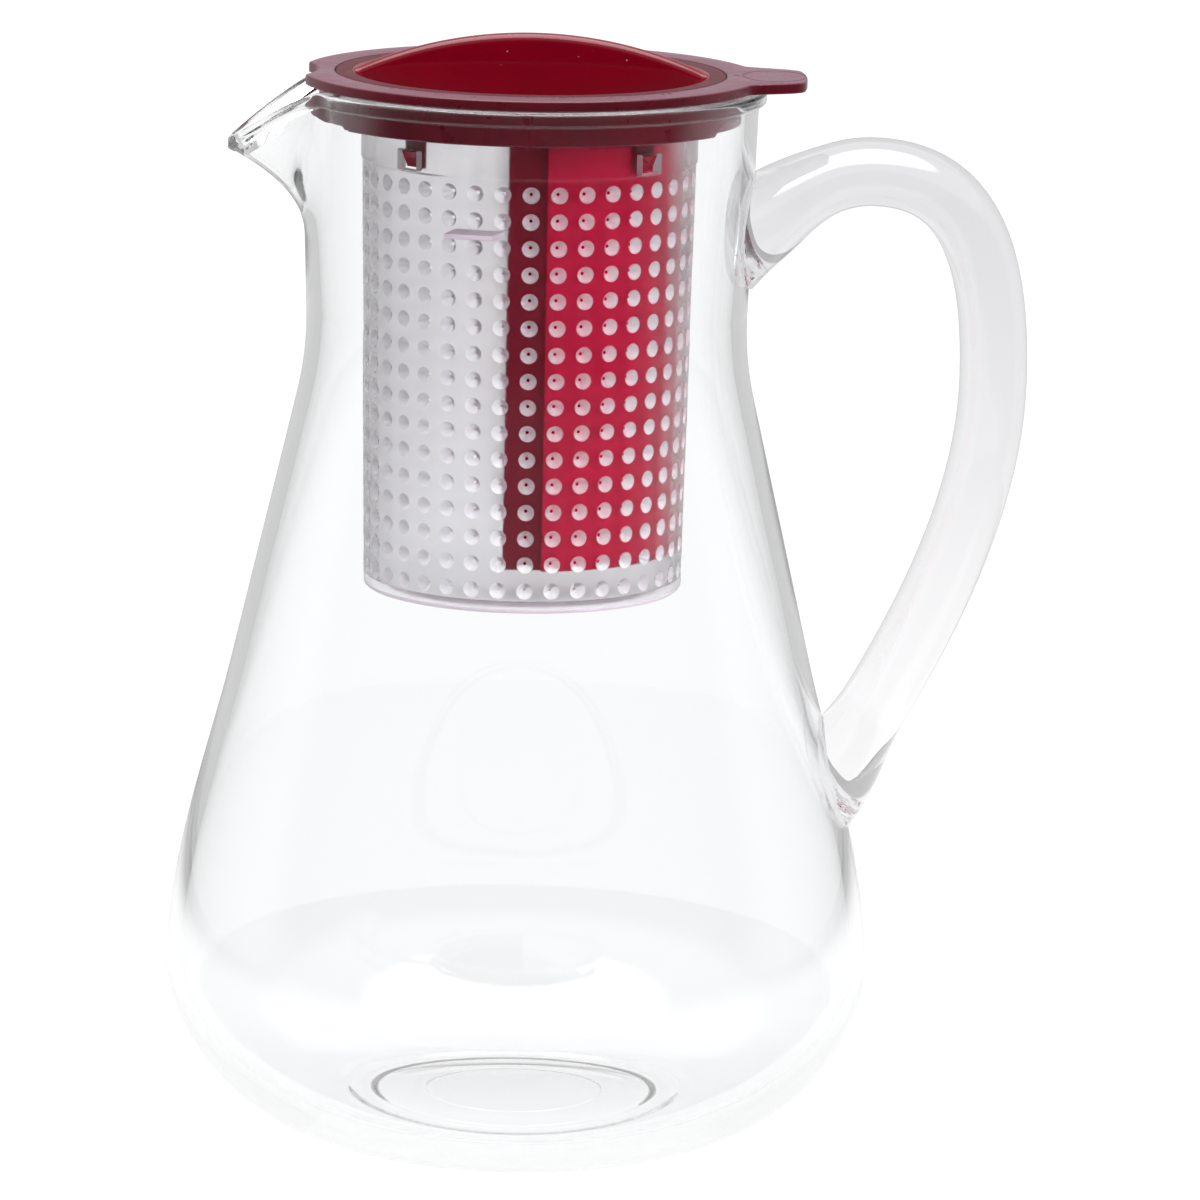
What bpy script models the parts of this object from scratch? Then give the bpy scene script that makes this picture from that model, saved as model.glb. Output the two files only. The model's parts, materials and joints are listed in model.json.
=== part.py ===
"""Iced tea pitcher: a clear pitcher with a welded handle, and a lid that carries a perforated brewing
basket, a fixed half-round shutter and a dial that turns a second half-round shutter inside it.

Every piece is modelled about the pitcher's own axis, with height 0 at the foot, and hangs from an empty
that stands on that axis."""

import math

import bmesh
import bpy
from mathutils import Vector
from mathutils.geometry import interpolate_bezier

MM = 0.001
GAP = 0.3 * MM
EDGE_EASE = 0.4 * MM
CUT_MARGIN = 0.5 * MM
SHARP_ANGLE = math.radians(32)

# Flat facets round each piece
BODY_FACETS = 36
SPOUT_FACETS = 12
HANDLE_FACETS = 14
LID_FACETS = 40
TAB_FACETS = 10
NOTCH_FACETS = 8
DIAL_FACETS = 40
FIN_FACETS = 16
SHUTTER_FACETS = 48

# Pitcher body
FOOT_INNER_RADIUS = 31.0 * MM
FOOT_OUTER_RADIUS = 37.2 * MM
FOOT_HEIGHT = 1.0 * MM
FOOT_RECESS = 1.4 * MM
BULGE_RADIUS = 74.0 * MM
BULGE_HEIGHT = 35.9 * MM
BULGE_POWER = 1.81
CONE_START = 101.3 * MM
CONE_SLOPE = -0.2325
WAIST_RADIUS = 45.6 * MM
WAIST_HEIGHT = 166.4 * MM
WAIST_BLEND = 7.0 * MM
NECK_RADIUS = 47.4 * MM
RIM_HEIGHT = 222.8 * MM
BEAD_RADIUS = 48.9 * MM
BEAD_HEIGHT = 3.2 * MM
NECK_WALL = 2.7 * MM
BULGE_WALL = 3.2 * MM
FLOOR_THICKNESS = 4.5 * MM
FLOOR_RADIUS = 33.0 * MM

# Spout, drawn out of the neck towards -X
SPOUT_START = 191.0 * MM
SPOUT_REACH = 13.6 * MM
SPOUT_DROP = 12.0 * MM
SPOUT_HALF_ANGLE = math.radians(27)
SPOUT_TIP_ROUNDING = 0.25
SPOUT_FLANK_POWER = 1.6
SPOUT_FLARE_POWER = 2.2

# Handle, on the +X side: its line leaves the neck at a slant, arches over, runs down the outer side
# and comes back to the cone along a straight arm. Points are (reach, height); a pull is how far a
# curve keeps its direction at a point.
HANDLE_REACH = 104.5 * MM
HANDLE_THICKNESS = 14.0 * MM
HANDLE_WIDTH = 22.0 * MM
HANDLE_PAD_THICKNESS = 18.0 * MM
HANDLE_PAD_WIDTH = 29.0 * MM
HANDLE_PAD_LENGTH = 30.0 * MM
HANDLE_SECTION_POWER = 2.4
HANDLE_ROOT = (40.0 * MM, 187.0 * MM)
HANDLE_ROOT_SLANT = math.radians(50)
HANDLE_ROOT_PULL = 12.4 * MM
HANDLE_ARCH = (71.0 * MM, 205.7 * MM)
HANDLE_ARCH_PULLS = (11.0 * MM, 18.5 * MM)
HANDLE_SIDE_HEIGHT = 163.0 * MM
HANDLE_SIDE_PULLS = (29.0 * MM, 24.0 * MM)
HANDLE_KNEE = (74.0 * MM, 91.8 * MM)
HANDLE_ARM_SLANT = math.radians(60)
HANDLE_ARM_PULL = 26.0 * MM
HANDLE_ARM_LENGTH = 28.0 * MM

# Lid ring
FLANGE_RADIUS = 47.5 * MM
FLANGE_THICKNESS = 2.1 * MM
LID_TOP = RIM_HEIGHT + GAP + FLANGE_THICKNESS
TAB_REACH = 57.2 * MM
TAB_FLAT_ANGLE = math.radians(9)
TAB_ROOT_ANGLE = math.radians(20)
NOTCH_DEPTH = 3.6 * MM
NOTCH_HALF_ANGLE = math.radians(12.5)
SKIRT_RADIUS = 43.7 * MM
SKIRT_WALL = 1.7 * MM
SKIRT_DEPTH = 7.6 * MM
SKIRT_RELIEF = 0.8 * MM
SKIRT_RELIEF_HALF_ANGLE = math.radians(33)
SEAT_RADIUS = 40.6 * MM
SEAT_INNER_RADIUS = 38.9 * MM
SEAT_DEPTH = 3.0 * MM
WEB_TOP_DEPTH = 5.0 * MM
WEB_THICKNESS = 1.8 * MM
WEB_BORE_RADIUS = 29.5 * MM

# Snap hooks under the lid ring, and the basket's windows for them
HOOK_ANGLES = [math.radians(angle) for angle in (45, 135, 225, 315)]
HOOK_WIDTH = 4.7 * MM
HOOK_INNER_RADIUS = 31.0 * MM
HOOK_OUTER_RADIUS = 32.0 * MM
HOOK_NOSE_RADIUS = 34.0 * MM
HOOK_NOSE_FLAT = 0.8 * MM
HOOK_PLAY = 0.4 * MM
WINDOW_TOP = 212.0 * MM
WINDOW_BOTTOM = 207.9 * MM
WINDOW_WIDTH = 5.5 * MM

# Dial
DIAL_RADIUS = 40.3 * MM
DISH_RADIUS = 36.8 * MM
DISH_DEPTH = 8.0 * MM
DISH_WALL = 1.8 * MM
DIAL_RIM_THICKNESS = 2.7 * MM
DIAL_COLLAR_INNER_RADIUS = 27.9 * MM
DIAL_COLLAR_RADIUS = 29.1 * MM
DIAL_COLLAR_DEPTH = 6.2 * MM
FIN_HALF_LENGTH = 37.0 * MM
FIN_HEIGHT = 8.2 * MM
FIN_THICKNESS = 4.0 * MM
FIN_EDGE_RADIUS = 1.7 * MM

# Half-round shutters; together their spans close the whole round
SHUTTER_BOTTOM = 126.0 * MM
SHUTTER_WALL = 1.2 * MM
TURNING_SPAN = math.radians(196)
FIXED_SPAN = math.radians(166)
SHUTTER_COLLAR_HEIGHT = 4.0 * MM

# Filter basket
BASKET_TOP_RADIUS = 34.6 * MM
BASKET_BOTTOM_RADIUS = 33.2 * MM
BASKET_BAND_RADIUS = 34.9 * MM
BASKET_BAND_HEIGHT = 207.3 * MM
BASKET_WALL = 2.0 * MM
BASKET_BOTTOM = 117.5 * MM
BASKET_FLOOR = 2.5 * MM
BASKET_CORNER = 1.2 * MM
LEDGE_AZIMUTH = math.radians(270 - 16.5)
LEDGE_WIDTH = 10.3 * MM
LEDGE_REACH_RADIUS = 41.6 * MM
LEDGE_HEIGHT = 196.0 * MM
LEDGE_THICKNESS = 1.1 * MM

# Perforation: cones sunk in the basket's flats, one column to a flat
HOLE_COLUMNS = 36
HOLE_ROWS = 16
HOLE_AZIMUTH = math.radians(1)
HOLE_TOP_ROW = 204.5 * MM
HOLE_PITCH = 5.48 * MM
HOLE_RADIUS = 1.7 * MM
HOLE_DEPTH = 1.7 * MM
HOLE_SIDES = 5

AXIS_X = (BULGE_RADIUS - HANDLE_REACH) / 2
WEB_TOP = LID_TOP - WEB_TOP_DEPTH
WEB_BOTTOM = WEB_TOP - WEB_THICKNESS


def clear_scene():
    for existing in list(bpy.data.objects):
        bpy.data.objects.remove(existing)


def plastic(name, colour, roughness, transmission=0.0):
    material = bpy.data.materials.new(name)
    material.use_nodes = True
    shader = material.node_tree.nodes["Principled BSDF"]
    shader.inputs["Base Color"].default_value = (*colour, 1.0)
    shader.inputs["Roughness"].default_value = roughness
    shader.inputs["Metallic"].default_value = 0.0
    shader.inputs["Transmission Weight"].default_value = transmission
    shader.inputs["IOR"].default_value = 1.5
    return material


def add_object(name, mesh_data, axis, material=None):
    """Turns a bmesh into a smooth-shaded object that hangs from the axis empty."""
    bmesh.ops.recalc_face_normals(mesh_data, faces=mesh_data.faces)
    mesh = bpy.data.meshes.new(name)
    mesh_data.to_mesh(mesh)
    mesh_data.free()
    mesh.shade_smooth()
    mesh.set_sharp_from_angle(angle=SHARP_ANGLE)
    created = bpy.data.objects.new(name, mesh)
    created.parent = axis
    if material is not None:
        mesh.materials.append(material)
    bpy.context.scene.collection.objects.link(created)
    return created


def add_tool(name, mesh_data, axis):
    """A body that only shapes another one."""
    tool = add_object(name, mesh_data, axis)
    tool.hide_render = True
    tool.display_type = "WIRE"
    return tool


def combine(target, tool, operation):
    step = target.modifiers.new(tool.name, "BOOLEAN")
    step.object = tool
    step.operation = operation
    step.solver = "EXACT"


def polar(radius, angle, height):
    return Vector((radius * math.cos(angle), radius * math.sin(angle), height))


def even_angles(count):
    return [math.tau * index / count for index in range(count)]


def angles_with_detail(coarse_count, spans):
    """Even angles round the axis, replaced by finer ones inside each (centre, half width, count) span."""
    kept = []
    for angle in even_angles(coarse_count):
        offsets = [abs(math.remainder(angle - centre, math.tau)) - half for centre, half, count in spans]
        if min(offsets) > math.radians(1):
            kept.append(angle)
    for centre, half, count in spans:
        kept += [(centre - half + 2 * half * index / count) % math.tau for index in range(count + 1)]
    return sorted(kept)


def turned(profile, angles, ring=False, shape=None):
    """A body turned from (radius, height) points. A ring joins its last point to its first;
    otherwise the first and last points lie on the axis. shape moves (radius, height, angle) points."""
    body = bmesh.new()
    rows = []
    for radius, height in profile:
        if radius == 0:
            rows.append([body.verts.new((0, 0, height))])
            continue
        row = []
        for angle in angles:
            moved_radius, moved_height = shape(radius, height, angle) if shape else (radius, height)
            row.append(body.verts.new(polar(moved_radius, angle, moved_height)))
        rows.append(row)
    pairs = list(zip(rows, rows[1:]))
    if ring:
        pairs.append((rows[-1], rows[0]))
    count = len(angles)
    for lower, upper in pairs:
        for index in range(count):
            following = (index + 1) % count
            corners = [lower[index % len(lower)], lower[following % len(lower)]]
            corners += [upper[following % len(upper)], upper[index % len(upper)]]
            body.faces.new(list(dict.fromkeys(corners)))
    return body


def prism(outline, direction):
    """A straight prism from a flat outline of points, drawn out along a direction."""
    body = bmesh.new()
    face = body.faces.new([body.verts.new(point) for point in outline])
    drawn = bmesh.ops.extrude_face_region(body, geom=[face])
    moved = [item for item in drawn["geom"] if isinstance(item, bmesh.types.BMVert)]
    bmesh.ops.translate(body, verts=moved, vec=direction)
    return body


def merge_into(body, other):
    """Copies another bmesh into this one as a separate shell."""
    copies = {vert: body.verts.new(vert.co) for vert in other.verts}
    for face in other.faces:
        body.faces.new([copies[vert] for vert in face.verts])
    other.free()


def blend(low, high, value):
    """0 below low, 1 above high, and an S-curve between them."""
    share = min(max((value - low) / (high - low), 0), 1)
    return share * share * (3 - 2 * share)


# Pitcher body


def neck_radius_at(height):
    share = (height - WAIST_HEIGHT) / (RIM_HEIGHT - WAIST_HEIGHT)
    return WAIST_RADIUS + (NECK_RADIUS - WAIST_RADIUS) * share


def cone_radius_at(height):
    return WAIST_RADIUS + CONE_SLOPE * (height - WAIST_HEIGHT)


def lower_curve(start_radius, start_height, end_radius, steps):
    """Superellipse quarter from the foot's edge out to the widest point."""
    points = []
    for step in range(1, steps + 1):
        angle = math.pi / 2 * step / steps
        outward = math.sin(angle) ** (2 / BULGE_POWER)
        upward = 1 - math.cos(angle) ** (2 / BULGE_POWER)
        radius = start_radius + (end_radius - start_radius) * outward
        points.append((radius, start_height + (BULGE_HEIGHT - start_height) * upward))
    return points


def shoulder(wall, steps):
    """Cubic from the upright wall at the widest point into the slope of the cone."""
    start_radius = BULGE_RADIUS - wall
    end_radius = cone_radius_at(CONE_START) - wall
    rise = CONE_START - BULGE_HEIGHT
    points = []
    for step in range(1, steps + 1):
        share = step / steps
        from_start = 2 * share**3 - 3 * share**2 + 1
        end_slope = share**3 - share**2
        radius = from_start * start_radius + (1 - from_start) * end_radius + end_slope * rise * CONE_SLOPE
        points.append((radius, BULGE_HEIGHT + rise * share))
    return points


def waist(wall):
    """Soft turn from the cone into the neck."""
    below = (cone_radius_at(WAIST_HEIGHT - WAIST_BLEND), WAIST_HEIGHT - WAIST_BLEND)
    above = (neck_radius_at(WAIST_HEIGHT + WAIST_BLEND), WAIST_HEIGHT + WAIST_BLEND)
    middle = ((below[0] + above[0] + 2 * WAIST_RADIUS) / 4, WAIST_HEIGHT)
    return [(radius - wall, height) for radius, height in (below, middle, above)]


def spout_width_share(angle):
    """How far the spout is drawn out at this angle: 1 at its tip, 0 at its flanks."""
    offset = abs(math.remainder(angle - math.pi, math.tau)) / SPOUT_HALF_ANGLE
    if offset >= 1:
        return 0
    widest = math.hypot(1, SPOUT_TIP_ROUNDING)
    rounded = math.hypot(offset, SPOUT_TIP_ROUNDING)
    share = (widest - rounded) / (widest - SPOUT_TIP_ROUNDING)
    return share**SPOUT_FLANK_POWER


def draw_spout(radius, height, angle):
    """Pulls the neck's wall out and down into the spout."""
    if height <= SPOUT_START:
        return radius, height
    length = RIM_HEIGHT - BEAD_HEIGHT - SPOUT_START
    rise = min((height - SPOUT_START) / length, 1)
    share = spout_width_share(angle)
    drawn_radius = radius + SPOUT_REACH * share * rise**SPOUT_FLARE_POWER
    return drawn_radius, height - SPOUT_DROP * share * rise


def outer_wall():
    points = [(FOOT_OUTER_RADIUS, FOOT_HEIGHT)]
    points += lower_curve(FOOT_OUTER_RADIUS, FOOT_HEIGHT, BULGE_RADIUS, 7)
    points += shoulder(0, 4)
    points += waist(0)
    return points


def body_profile():
    bead_bottom = RIM_HEIGHT - BEAD_HEIGHT
    spout_rows = [SPOUT_START + (bead_bottom - SPOUT_START) * share for share in (0, 0.4, 0.72, 1)]
    bead_edge = BEAD_HEIGHT / 4
    outside = [(0, FOOT_RECESS), (FOOT_INNER_RADIUS - FOOT_RECESS, FOOT_RECESS), (FOOT_INNER_RADIUS, 0)]
    outside += [(FOOT_OUTER_RADIUS - FOOT_HEIGHT / 2, 0)]
    outside += outer_wall()
    outside += [(neck_radius_at(height), height) for height in spout_rows]
    outside += [(BEAD_RADIUS, bead_bottom + bead_edge), (BEAD_RADIUS, RIM_HEIGHT - bead_edge)]
    outside += [(BEAD_RADIUS - bead_edge, RIM_HEIGHT)]
    inside = [(neck_radius_at(height) - NECK_WALL, height) for height in (*spout_rows, RIM_HEIGHT)]
    inside = waist(NECK_WALL) + inside
    inside = shoulder(BULGE_WALL, 3) + inside
    inside = lower_curve(FLOOR_RADIUS, FLOOR_THICKNESS, BULGE_RADIUS - BULGE_WALL, 4) + inside
    inside = [(0, FLOOR_THICKNESS), (FLOOR_RADIUS, FLOOR_THICKNESS)] + inside
    return outside + inside[::-1]


def make_body(axis):
    angles = angles_with_detail(BODY_FACETS, [(math.pi, SPOUT_HALF_ANGLE, SPOUT_FACETS)])
    clear = plastic("clear_pitcher_plastic", (0.93, 0.94, 0.96), 0.04, 0.95)
    return add_object("pitcher_body", turned(body_profile(), angles, shape=draw_spout), axis, clear)


# Handle


def handle_line():
    """Centre line of the loop, in the plane of the axis, from inside the neck to inside the cone."""
    outward = Vector((1, 0, 0))
    upward = Vector((0, 0, 1))
    root_way = Vector((math.cos(HANDLE_ROOT_SLANT), 0, math.sin(HANDLE_ROOT_SLANT)))
    arm_way = Vector((math.cos(HANDLE_ARM_SLANT), 0, math.sin(HANDLE_ARM_SLANT)))
    root = Vector((HANDLE_ROOT[0], 0, HANDLE_ROOT[1]))
    arch = Vector((HANDLE_ARCH[0], 0, HANDLE_ARCH[1]))
    side = Vector((HANDLE_REACH - HANDLE_THICKNESS / 2, 0, HANDLE_SIDE_HEIGHT))
    knee = Vector((HANDLE_KNEE[0], 0, HANDLE_KNEE[1]))
    into_arch, out_of_arch = HANDLE_ARCH_PULLS
    above_side, below_side = HANDLE_SIDE_PULLS
    above_knee = knee + arm_way * HANDLE_ARM_PULL
    line = interpolate_bezier(root, root + root_way * HANDLE_ROOT_PULL, arch - outward * into_arch, arch, 7)
    line += interpolate_bezier(arch, arch + outward * out_of_arch, side + upward * above_side, side, 9)[1:]
    line += interpolate_bezier(side, side - upward * below_side, above_knee, knee, 9)[1:]
    arm_steps = 3
    for step in range(1, arm_steps + 1):
        line.append(knee - arm_way * HANDLE_ARM_LENGTH * step / arm_steps)
    return line


def handle_section(thickness, width, count):
    points = []
    for angle in even_angles(count):
        across = math.copysign(abs(math.cos(angle)) ** (2 / HANDLE_SECTION_POWER), math.cos(angle))
        sideways = math.copysign(abs(math.sin(angle)) ** (2 / HANDLE_SECTION_POWER), math.sin(angle))
        points.append((across * thickness / 2, sideways * width / 2))
    return points


def handle_sweep():
    line = handle_line()
    lengths = [0]
    for here, following in zip(line, line[1:]):
        lengths.append(lengths[-1] + (following - here).length)
    body = bmesh.new()
    rings = []
    for index, centre in enumerate(line):
        before = line[max(index - 1, 0)]
        after = line[min(index + 1, len(line) - 1)]
        along = (after - before).normalized()
        across = Vector((0, 1, 0)).cross(along)
        from_end = min(lengths[index], lengths[-1] - lengths[index])
        flare = 1 - blend(HANDLE_PAD_LENGTH / 3, HANDLE_PAD_LENGTH, from_end)
        thickness = HANDLE_THICKNESS + (HANDLE_PAD_THICKNESS - HANDLE_THICKNESS) * flare
        width = HANDLE_WIDTH + (HANDLE_PAD_WIDTH - HANDLE_WIDTH) * flare
        ring = []
        for offset, sideways in handle_section(thickness, width, HANDLE_FACETS):
            ring.append(body.verts.new(centre + across * offset + Vector((0, sideways, 0))))
        rings.append(ring)
    for lower, upper in zip(rings, rings[1:]):
        for index in range(len(lower)):
            following = (index + 1) % len(lower)
            body.faces.new([lower[index], lower[following], upper[following], upper[index]])
    body.faces.new(rings[0])
    body.faces.new(rings[-1])
    return body


def make_handle(axis):
    """The loop's ends are cut to lie on the body's wall."""
    clear = plastic("clear_handle_plastic", (0.93, 0.94, 0.96), 0.04, 0.95)
    handle = add_object("handle", handle_sweep(), axis, clear)
    wall = [(0, 0)] + [(radius + GAP, height) for radius, height in outer_wall()]
    wall += [(NECK_RADIUS + GAP, RIM_HEIGHT), (0, RIM_HEIGHT)]
    cutter = add_tool("handle_end_cutter", turned(wall, even_angles(96)), axis)
    combine(handle, cutter, "DIFFERENCE")
    return handle


# Lid ring


def flange_outline(angle):
    """Flange radius: round, drawn out into the thumb tab at +X and notched over the spout at -X."""
    from_handle = abs(math.remainder(angle, math.tau))
    from_spout = math.pi - from_handle
    tab = (TAB_REACH - FLANGE_RADIUS) * (1 - blend(TAB_FLAT_ANGLE, TAB_ROOT_ANGLE, from_handle))
    notch = NOTCH_DEPTH * max(0, 1 - (from_spout / NOTCH_HALF_ANGLE) ** 2)
    return FLANGE_RADIUS + tab - notch


def shape_lid_ring(radius, height, angle):
    if radius > SKIRT_RADIUS + GAP:
        return radius - FLANGE_RADIUS + flange_outline(angle), height
    from_side = abs(math.remainder(angle, math.pi))
    relieved = from_side < SKIRT_RELIEF_HALF_ANGLE
    if relieved and height < WEB_BOTTOM:
        return radius, height + SKIRT_RELIEF
    return radius, height


def lid_ring_profile():
    under_flange = LID_TOP - FLANGE_THICKNESS
    skirt_bottom = under_flange - SKIRT_DEPTH
    skirt_inner = SKIRT_RADIUS - SKIRT_WALL
    return [
        (SKIRT_RADIUS, skirt_bottom),
        (SKIRT_RADIUS, under_flange),
        (FLANGE_RADIUS, under_flange),
        (FLANGE_RADIUS, LID_TOP - EDGE_EASE),
        (FLANGE_RADIUS - EDGE_EASE, LID_TOP),
        (SEAT_RADIUS, LID_TOP),
        (SEAT_RADIUS, LID_TOP - SEAT_DEPTH),
        (SEAT_INNER_RADIUS, LID_TOP - SEAT_DEPTH),
        (SEAT_INNER_RADIUS, WEB_TOP),
        (WEB_BORE_RADIUS, WEB_TOP),
        (WEB_BORE_RADIUS, WEB_BOTTOM),
        (skirt_inner, WEB_BOTTOM),
        (skirt_inner, skirt_bottom),
    ]


def hook(angle):
    """One strap with a wedge nose at its lower end, which catches the window's upper edge."""
    nose_top = WINDOW_TOP - HOOK_PLAY
    nose_bottom = WINDOW_BOTTOM + HOOK_PLAY
    outline = [
        (HOOK_INNER_RADIUS, WEB_TOP - WEB_THICKNESS / 2),
        (HOOK_OUTER_RADIUS, WEB_TOP - WEB_THICKNESS / 2),
        (HOOK_OUTER_RADIUS, nose_top),
        (HOOK_NOSE_RADIUS, nose_top),
        (HOOK_NOSE_RADIUS, nose_top - HOOK_NOSE_FLAT),
        (HOOK_OUTER_RADIUS + GAP, nose_bottom),
        (HOOK_INNER_RADIUS, nose_bottom),
    ]
    sideways = Vector((-math.sin(angle), math.cos(angle), 0))
    points = [polar(radius, angle, height) - sideways * HOOK_WIDTH / 2 for radius, height in outline]
    return prism(points, sideways * HOOK_WIDTH)


def make_lid_ring(axis):
    detail = [(0, TAB_ROOT_ANGLE, TAB_FACETS), (math.pi, NOTCH_HALF_ANGLE, NOTCH_FACETS)]
    maroon = plastic("maroon_lid_plastic", (0.19, 0.02, 0.04), 0.42)
    ring_mesh = turned(lid_ring_profile(), angles_with_detail(LID_FACETS, detail), True, shape_lid_ring)
    ring = add_object("lid_ring", ring_mesh, axis, maroon)
    hooks = bmesh.new()
    for angle in HOOK_ANGLES:
        merge_into(hooks, hook(angle))
    combine(ring, add_tool("hook_set", hooks, axis), "UNION")
    return ring


# Dial


def dish_height(radius):
    """Height of the dish's round floor, which reaches the dial's top at the dish's rim."""
    sphere = (DISH_RADIUS**2 + DISH_DEPTH**2) / (2 * DISH_DEPTH)
    return LID_TOP - DISH_DEPTH + sphere - math.sqrt(sphere**2 - radius**2)


def dial_profile():
    rim_bottom = LID_TOP - DIAL_RIM_THICKNESS
    collar_bottom = LID_TOP - DIAL_COLLAR_DEPTH
    floor_radii = [DISH_RADIUS * share for share in (0, 0.35, 0.7, 1)]
    top = [(radius, dish_height(radius)) for radius in floor_radii]
    rim = [(DIAL_RADIUS - EDGE_EASE, LID_TOP), (DIAL_RADIUS, LID_TOP - EDGE_EASE), (DIAL_RADIUS, rim_bottom)]
    rim += [(DISH_RADIUS, rim_bottom)]
    under_radii = [(DISH_RADIUS + DIAL_COLLAR_RADIUS) / 2, DIAL_COLLAR_RADIUS]
    under = [(radius, dish_height(radius) - DISH_WALL) for radius in under_radii]
    under += [(DIAL_COLLAR_RADIUS, collar_bottom), (DIAL_COLLAR_INNER_RADIUS, collar_bottom)]
    inner_radii = [DIAL_COLLAR_INNER_RADIUS * share for share in (1, 0.6, 0)]
    under += [(radius, dish_height(radius) - DISH_WALL) for radius in inner_radii]
    return (top + rim + under)[::-1]


def fin_outline():
    """Arched side view of the grip fin; its foot is sunk in the dish's floor."""
    arch_radius = (FIN_HALF_LENGTH**2 + FIN_HEIGHT**2) / (2 * FIN_HEIGHT)
    half_angle = math.asin(FIN_HALF_LENGTH / arch_radius)
    points = []
    for step in range(FIN_FACETS + 1):
        angle = half_angle * (1 - 2 * step / FIN_FACETS)
        drop = arch_radius * (1 - math.cos(angle))
        points.append((arch_radius * math.sin(angle), LID_TOP + FIN_HEIGHT - drop))
    sunk = DISH_WALL / 2
    for share in (-1, -0.75, -0.5, -0.25, 0, 0.25, 0.5, 0.75, 1):
        along = FIN_HALF_LENGTH * share
        points.append((along, dish_height(min(abs(along), DISH_RADIUS)) - sunk))
    return points


def make_dial(axis):
    red = plastic("red_dial_plastic", (0.42, 0.01, 0.04), 0.22)
    dial = add_object("dial", turned(dial_profile(), even_angles(DIAL_FACETS)), axis, red)
    side = Vector((0, FIN_THICKNESS / 2, 0))
    outline = [Vector((along, 0, height)) - side for along, height in fin_outline()]
    fin = prism(outline, side * 2)
    crest = []
    for edge in fin.edges:
        high = all(vert.co.z > LID_TOP + FIN_EDGE_RADIUS / 2 for vert in edge.verts)
        lengthwise = abs(edge.verts[0].co.y - edge.verts[1].co.y) < GAP
        if high and lengthwise:
            crest.append(edge)
    bmesh.ops.bevel(fin, geom=crest, offset=FIN_EDGE_RADIUS, segments=3, profile=0.5, affect="EDGES")
    combine(dial, add_tool("fin", fin, axis), "UNION")
    return dial


# Half-round shutters


def half_shell(name, outer_radius, top, span, collar_height, axis, material):
    """A tube cut down to a half round below its collar; the open side faces the spout."""
    inner_radius = outer_radius - SHUTTER_WALL
    profile = [
        (inner_radius, SHUTTER_BOTTOM),
        (outer_radius, SHUTTER_BOTTOM),
        (outer_radius, top),
        (inner_radius, top),
    ]
    shell = add_object(name, turned(profile, even_angles(SHUTTER_FACETS), ring=True), axis, material)
    open_angle = math.tau - span
    steps = 8
    reach = 2 * outer_radius
    below = SHUTTER_BOTTOM - CUT_MARGIN
    outline = [Vector((0, 0, below))]
    for step in range(steps + 1):
        angle = math.pi - open_angle / 2 + open_angle * step / steps
        outline.append(polar(reach, angle, below))
    cut_top = top - collar_height if collar_height else top + CUT_MARGIN
    sector = prism(outline, Vector((0, 0, cut_top - below)))
    combine(shell, add_tool(f"{name}_opening", sector, axis), "DIFFERENCE")
    return shell


def make_shutters(axis):
    red = plastic("red_turning_plastic", (0.45, 0.01, 0.06), 0.25)
    top = LID_TOP - DIAL_COLLAR_DEPTH - GAP
    half_shell("turning_shutter", DIAL_COLLAR_RADIUS, top, TURNING_SPAN, SHUTTER_COLLAR_HEIGHT, axis, red)
    red = plastic("red_fixed_plastic", (0.45, 0.01, 0.06), 0.25)
    half_shell("fixed_shutter", WEB_BORE_RADIUS + SHUTTER_WALL, WEB_BOTTOM - GAP, FIXED_SPAN, 0, axis, red)


# Filter basket


def basket_profile():
    top = WEB_BOTTOM - GAP
    step = BASKET_BAND_RADIUS - BASKET_TOP_RADIUS
    inner_top = BASKET_TOP_RADIUS - BASKET_WALL
    inner_bottom = BASKET_BOTTOM_RADIUS - BASKET_WALL
    return [
        (0, BASKET_BOTTOM),
        (BASKET_BOTTOM_RADIUS - BASKET_CORNER, BASKET_BOTTOM),
        (BASKET_BOTTOM_RADIUS, BASKET_BOTTOM + BASKET_CORNER),
        (BASKET_TOP_RADIUS, BASKET_BAND_HEIGHT - step),
        (BASKET_BAND_RADIUS, BASKET_BAND_HEIGHT),
        (BASKET_BAND_RADIUS, top),
        (inner_top, top),
        (inner_top, BASKET_BAND_HEIGHT),
        (inner_bottom, BASKET_BOTTOM + BASKET_FLOOR),
        (0, BASKET_BOTTOM + BASKET_FLOOR),
    ]


def basket_radius_at(height):
    share = (height - BASKET_BOTTOM - BASKET_CORNER) / (BASKET_BAND_HEIGHT - BASKET_BOTTOM - BASKET_CORNER)
    return BASKET_BOTTOM_RADIUS + (BASKET_TOP_RADIUS - BASKET_BOTTOM_RADIUS) * share


def hole_cone(azimuth, height):
    """One cutter of the perforation: its mouth stands off the basket's flat, its point lies in the wall."""
    flat = basket_radius_at(height) * math.cos(math.pi / HOLE_COLUMNS)
    mouth_radius = HOLE_RADIUS * (HOLE_DEPTH + CUT_MARGIN) / HOLE_DEPTH
    sideways = Vector((-math.sin(azimuth), math.cos(azimuth), 0))
    upward = Vector((0, 0, 1))
    centre = polar(flat + CUT_MARGIN, azimuth, height)
    cone = bmesh.new()
    mouth = []
    for angle in even_angles(HOLE_SIDES):
        offset = upward * math.cos(angle) + sideways * math.sin(angle)
        mouth.append(cone.verts.new(centre + offset * mouth_radius))
    point = cone.verts.new(polar(flat - HOLE_DEPTH, azimuth, height))
    cone.faces.new(mouth)
    for here, following in zip(mouth, mouth[1:] + mouth[:1]):
        cone.faces.new([here, following, point])
    return cone


def perforation():
    """Every cone of the basket's wall, as one set of cutters."""
    cones = bmesh.new()
    for azimuth in even_angles(HOLE_COLUMNS):
        for row in range(HOLE_ROWS):
            merge_into(cones, hole_cone(HOLE_AZIMUTH + azimuth, HOLE_TOP_ROW - HOLE_PITCH * row))
    return cones


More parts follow.
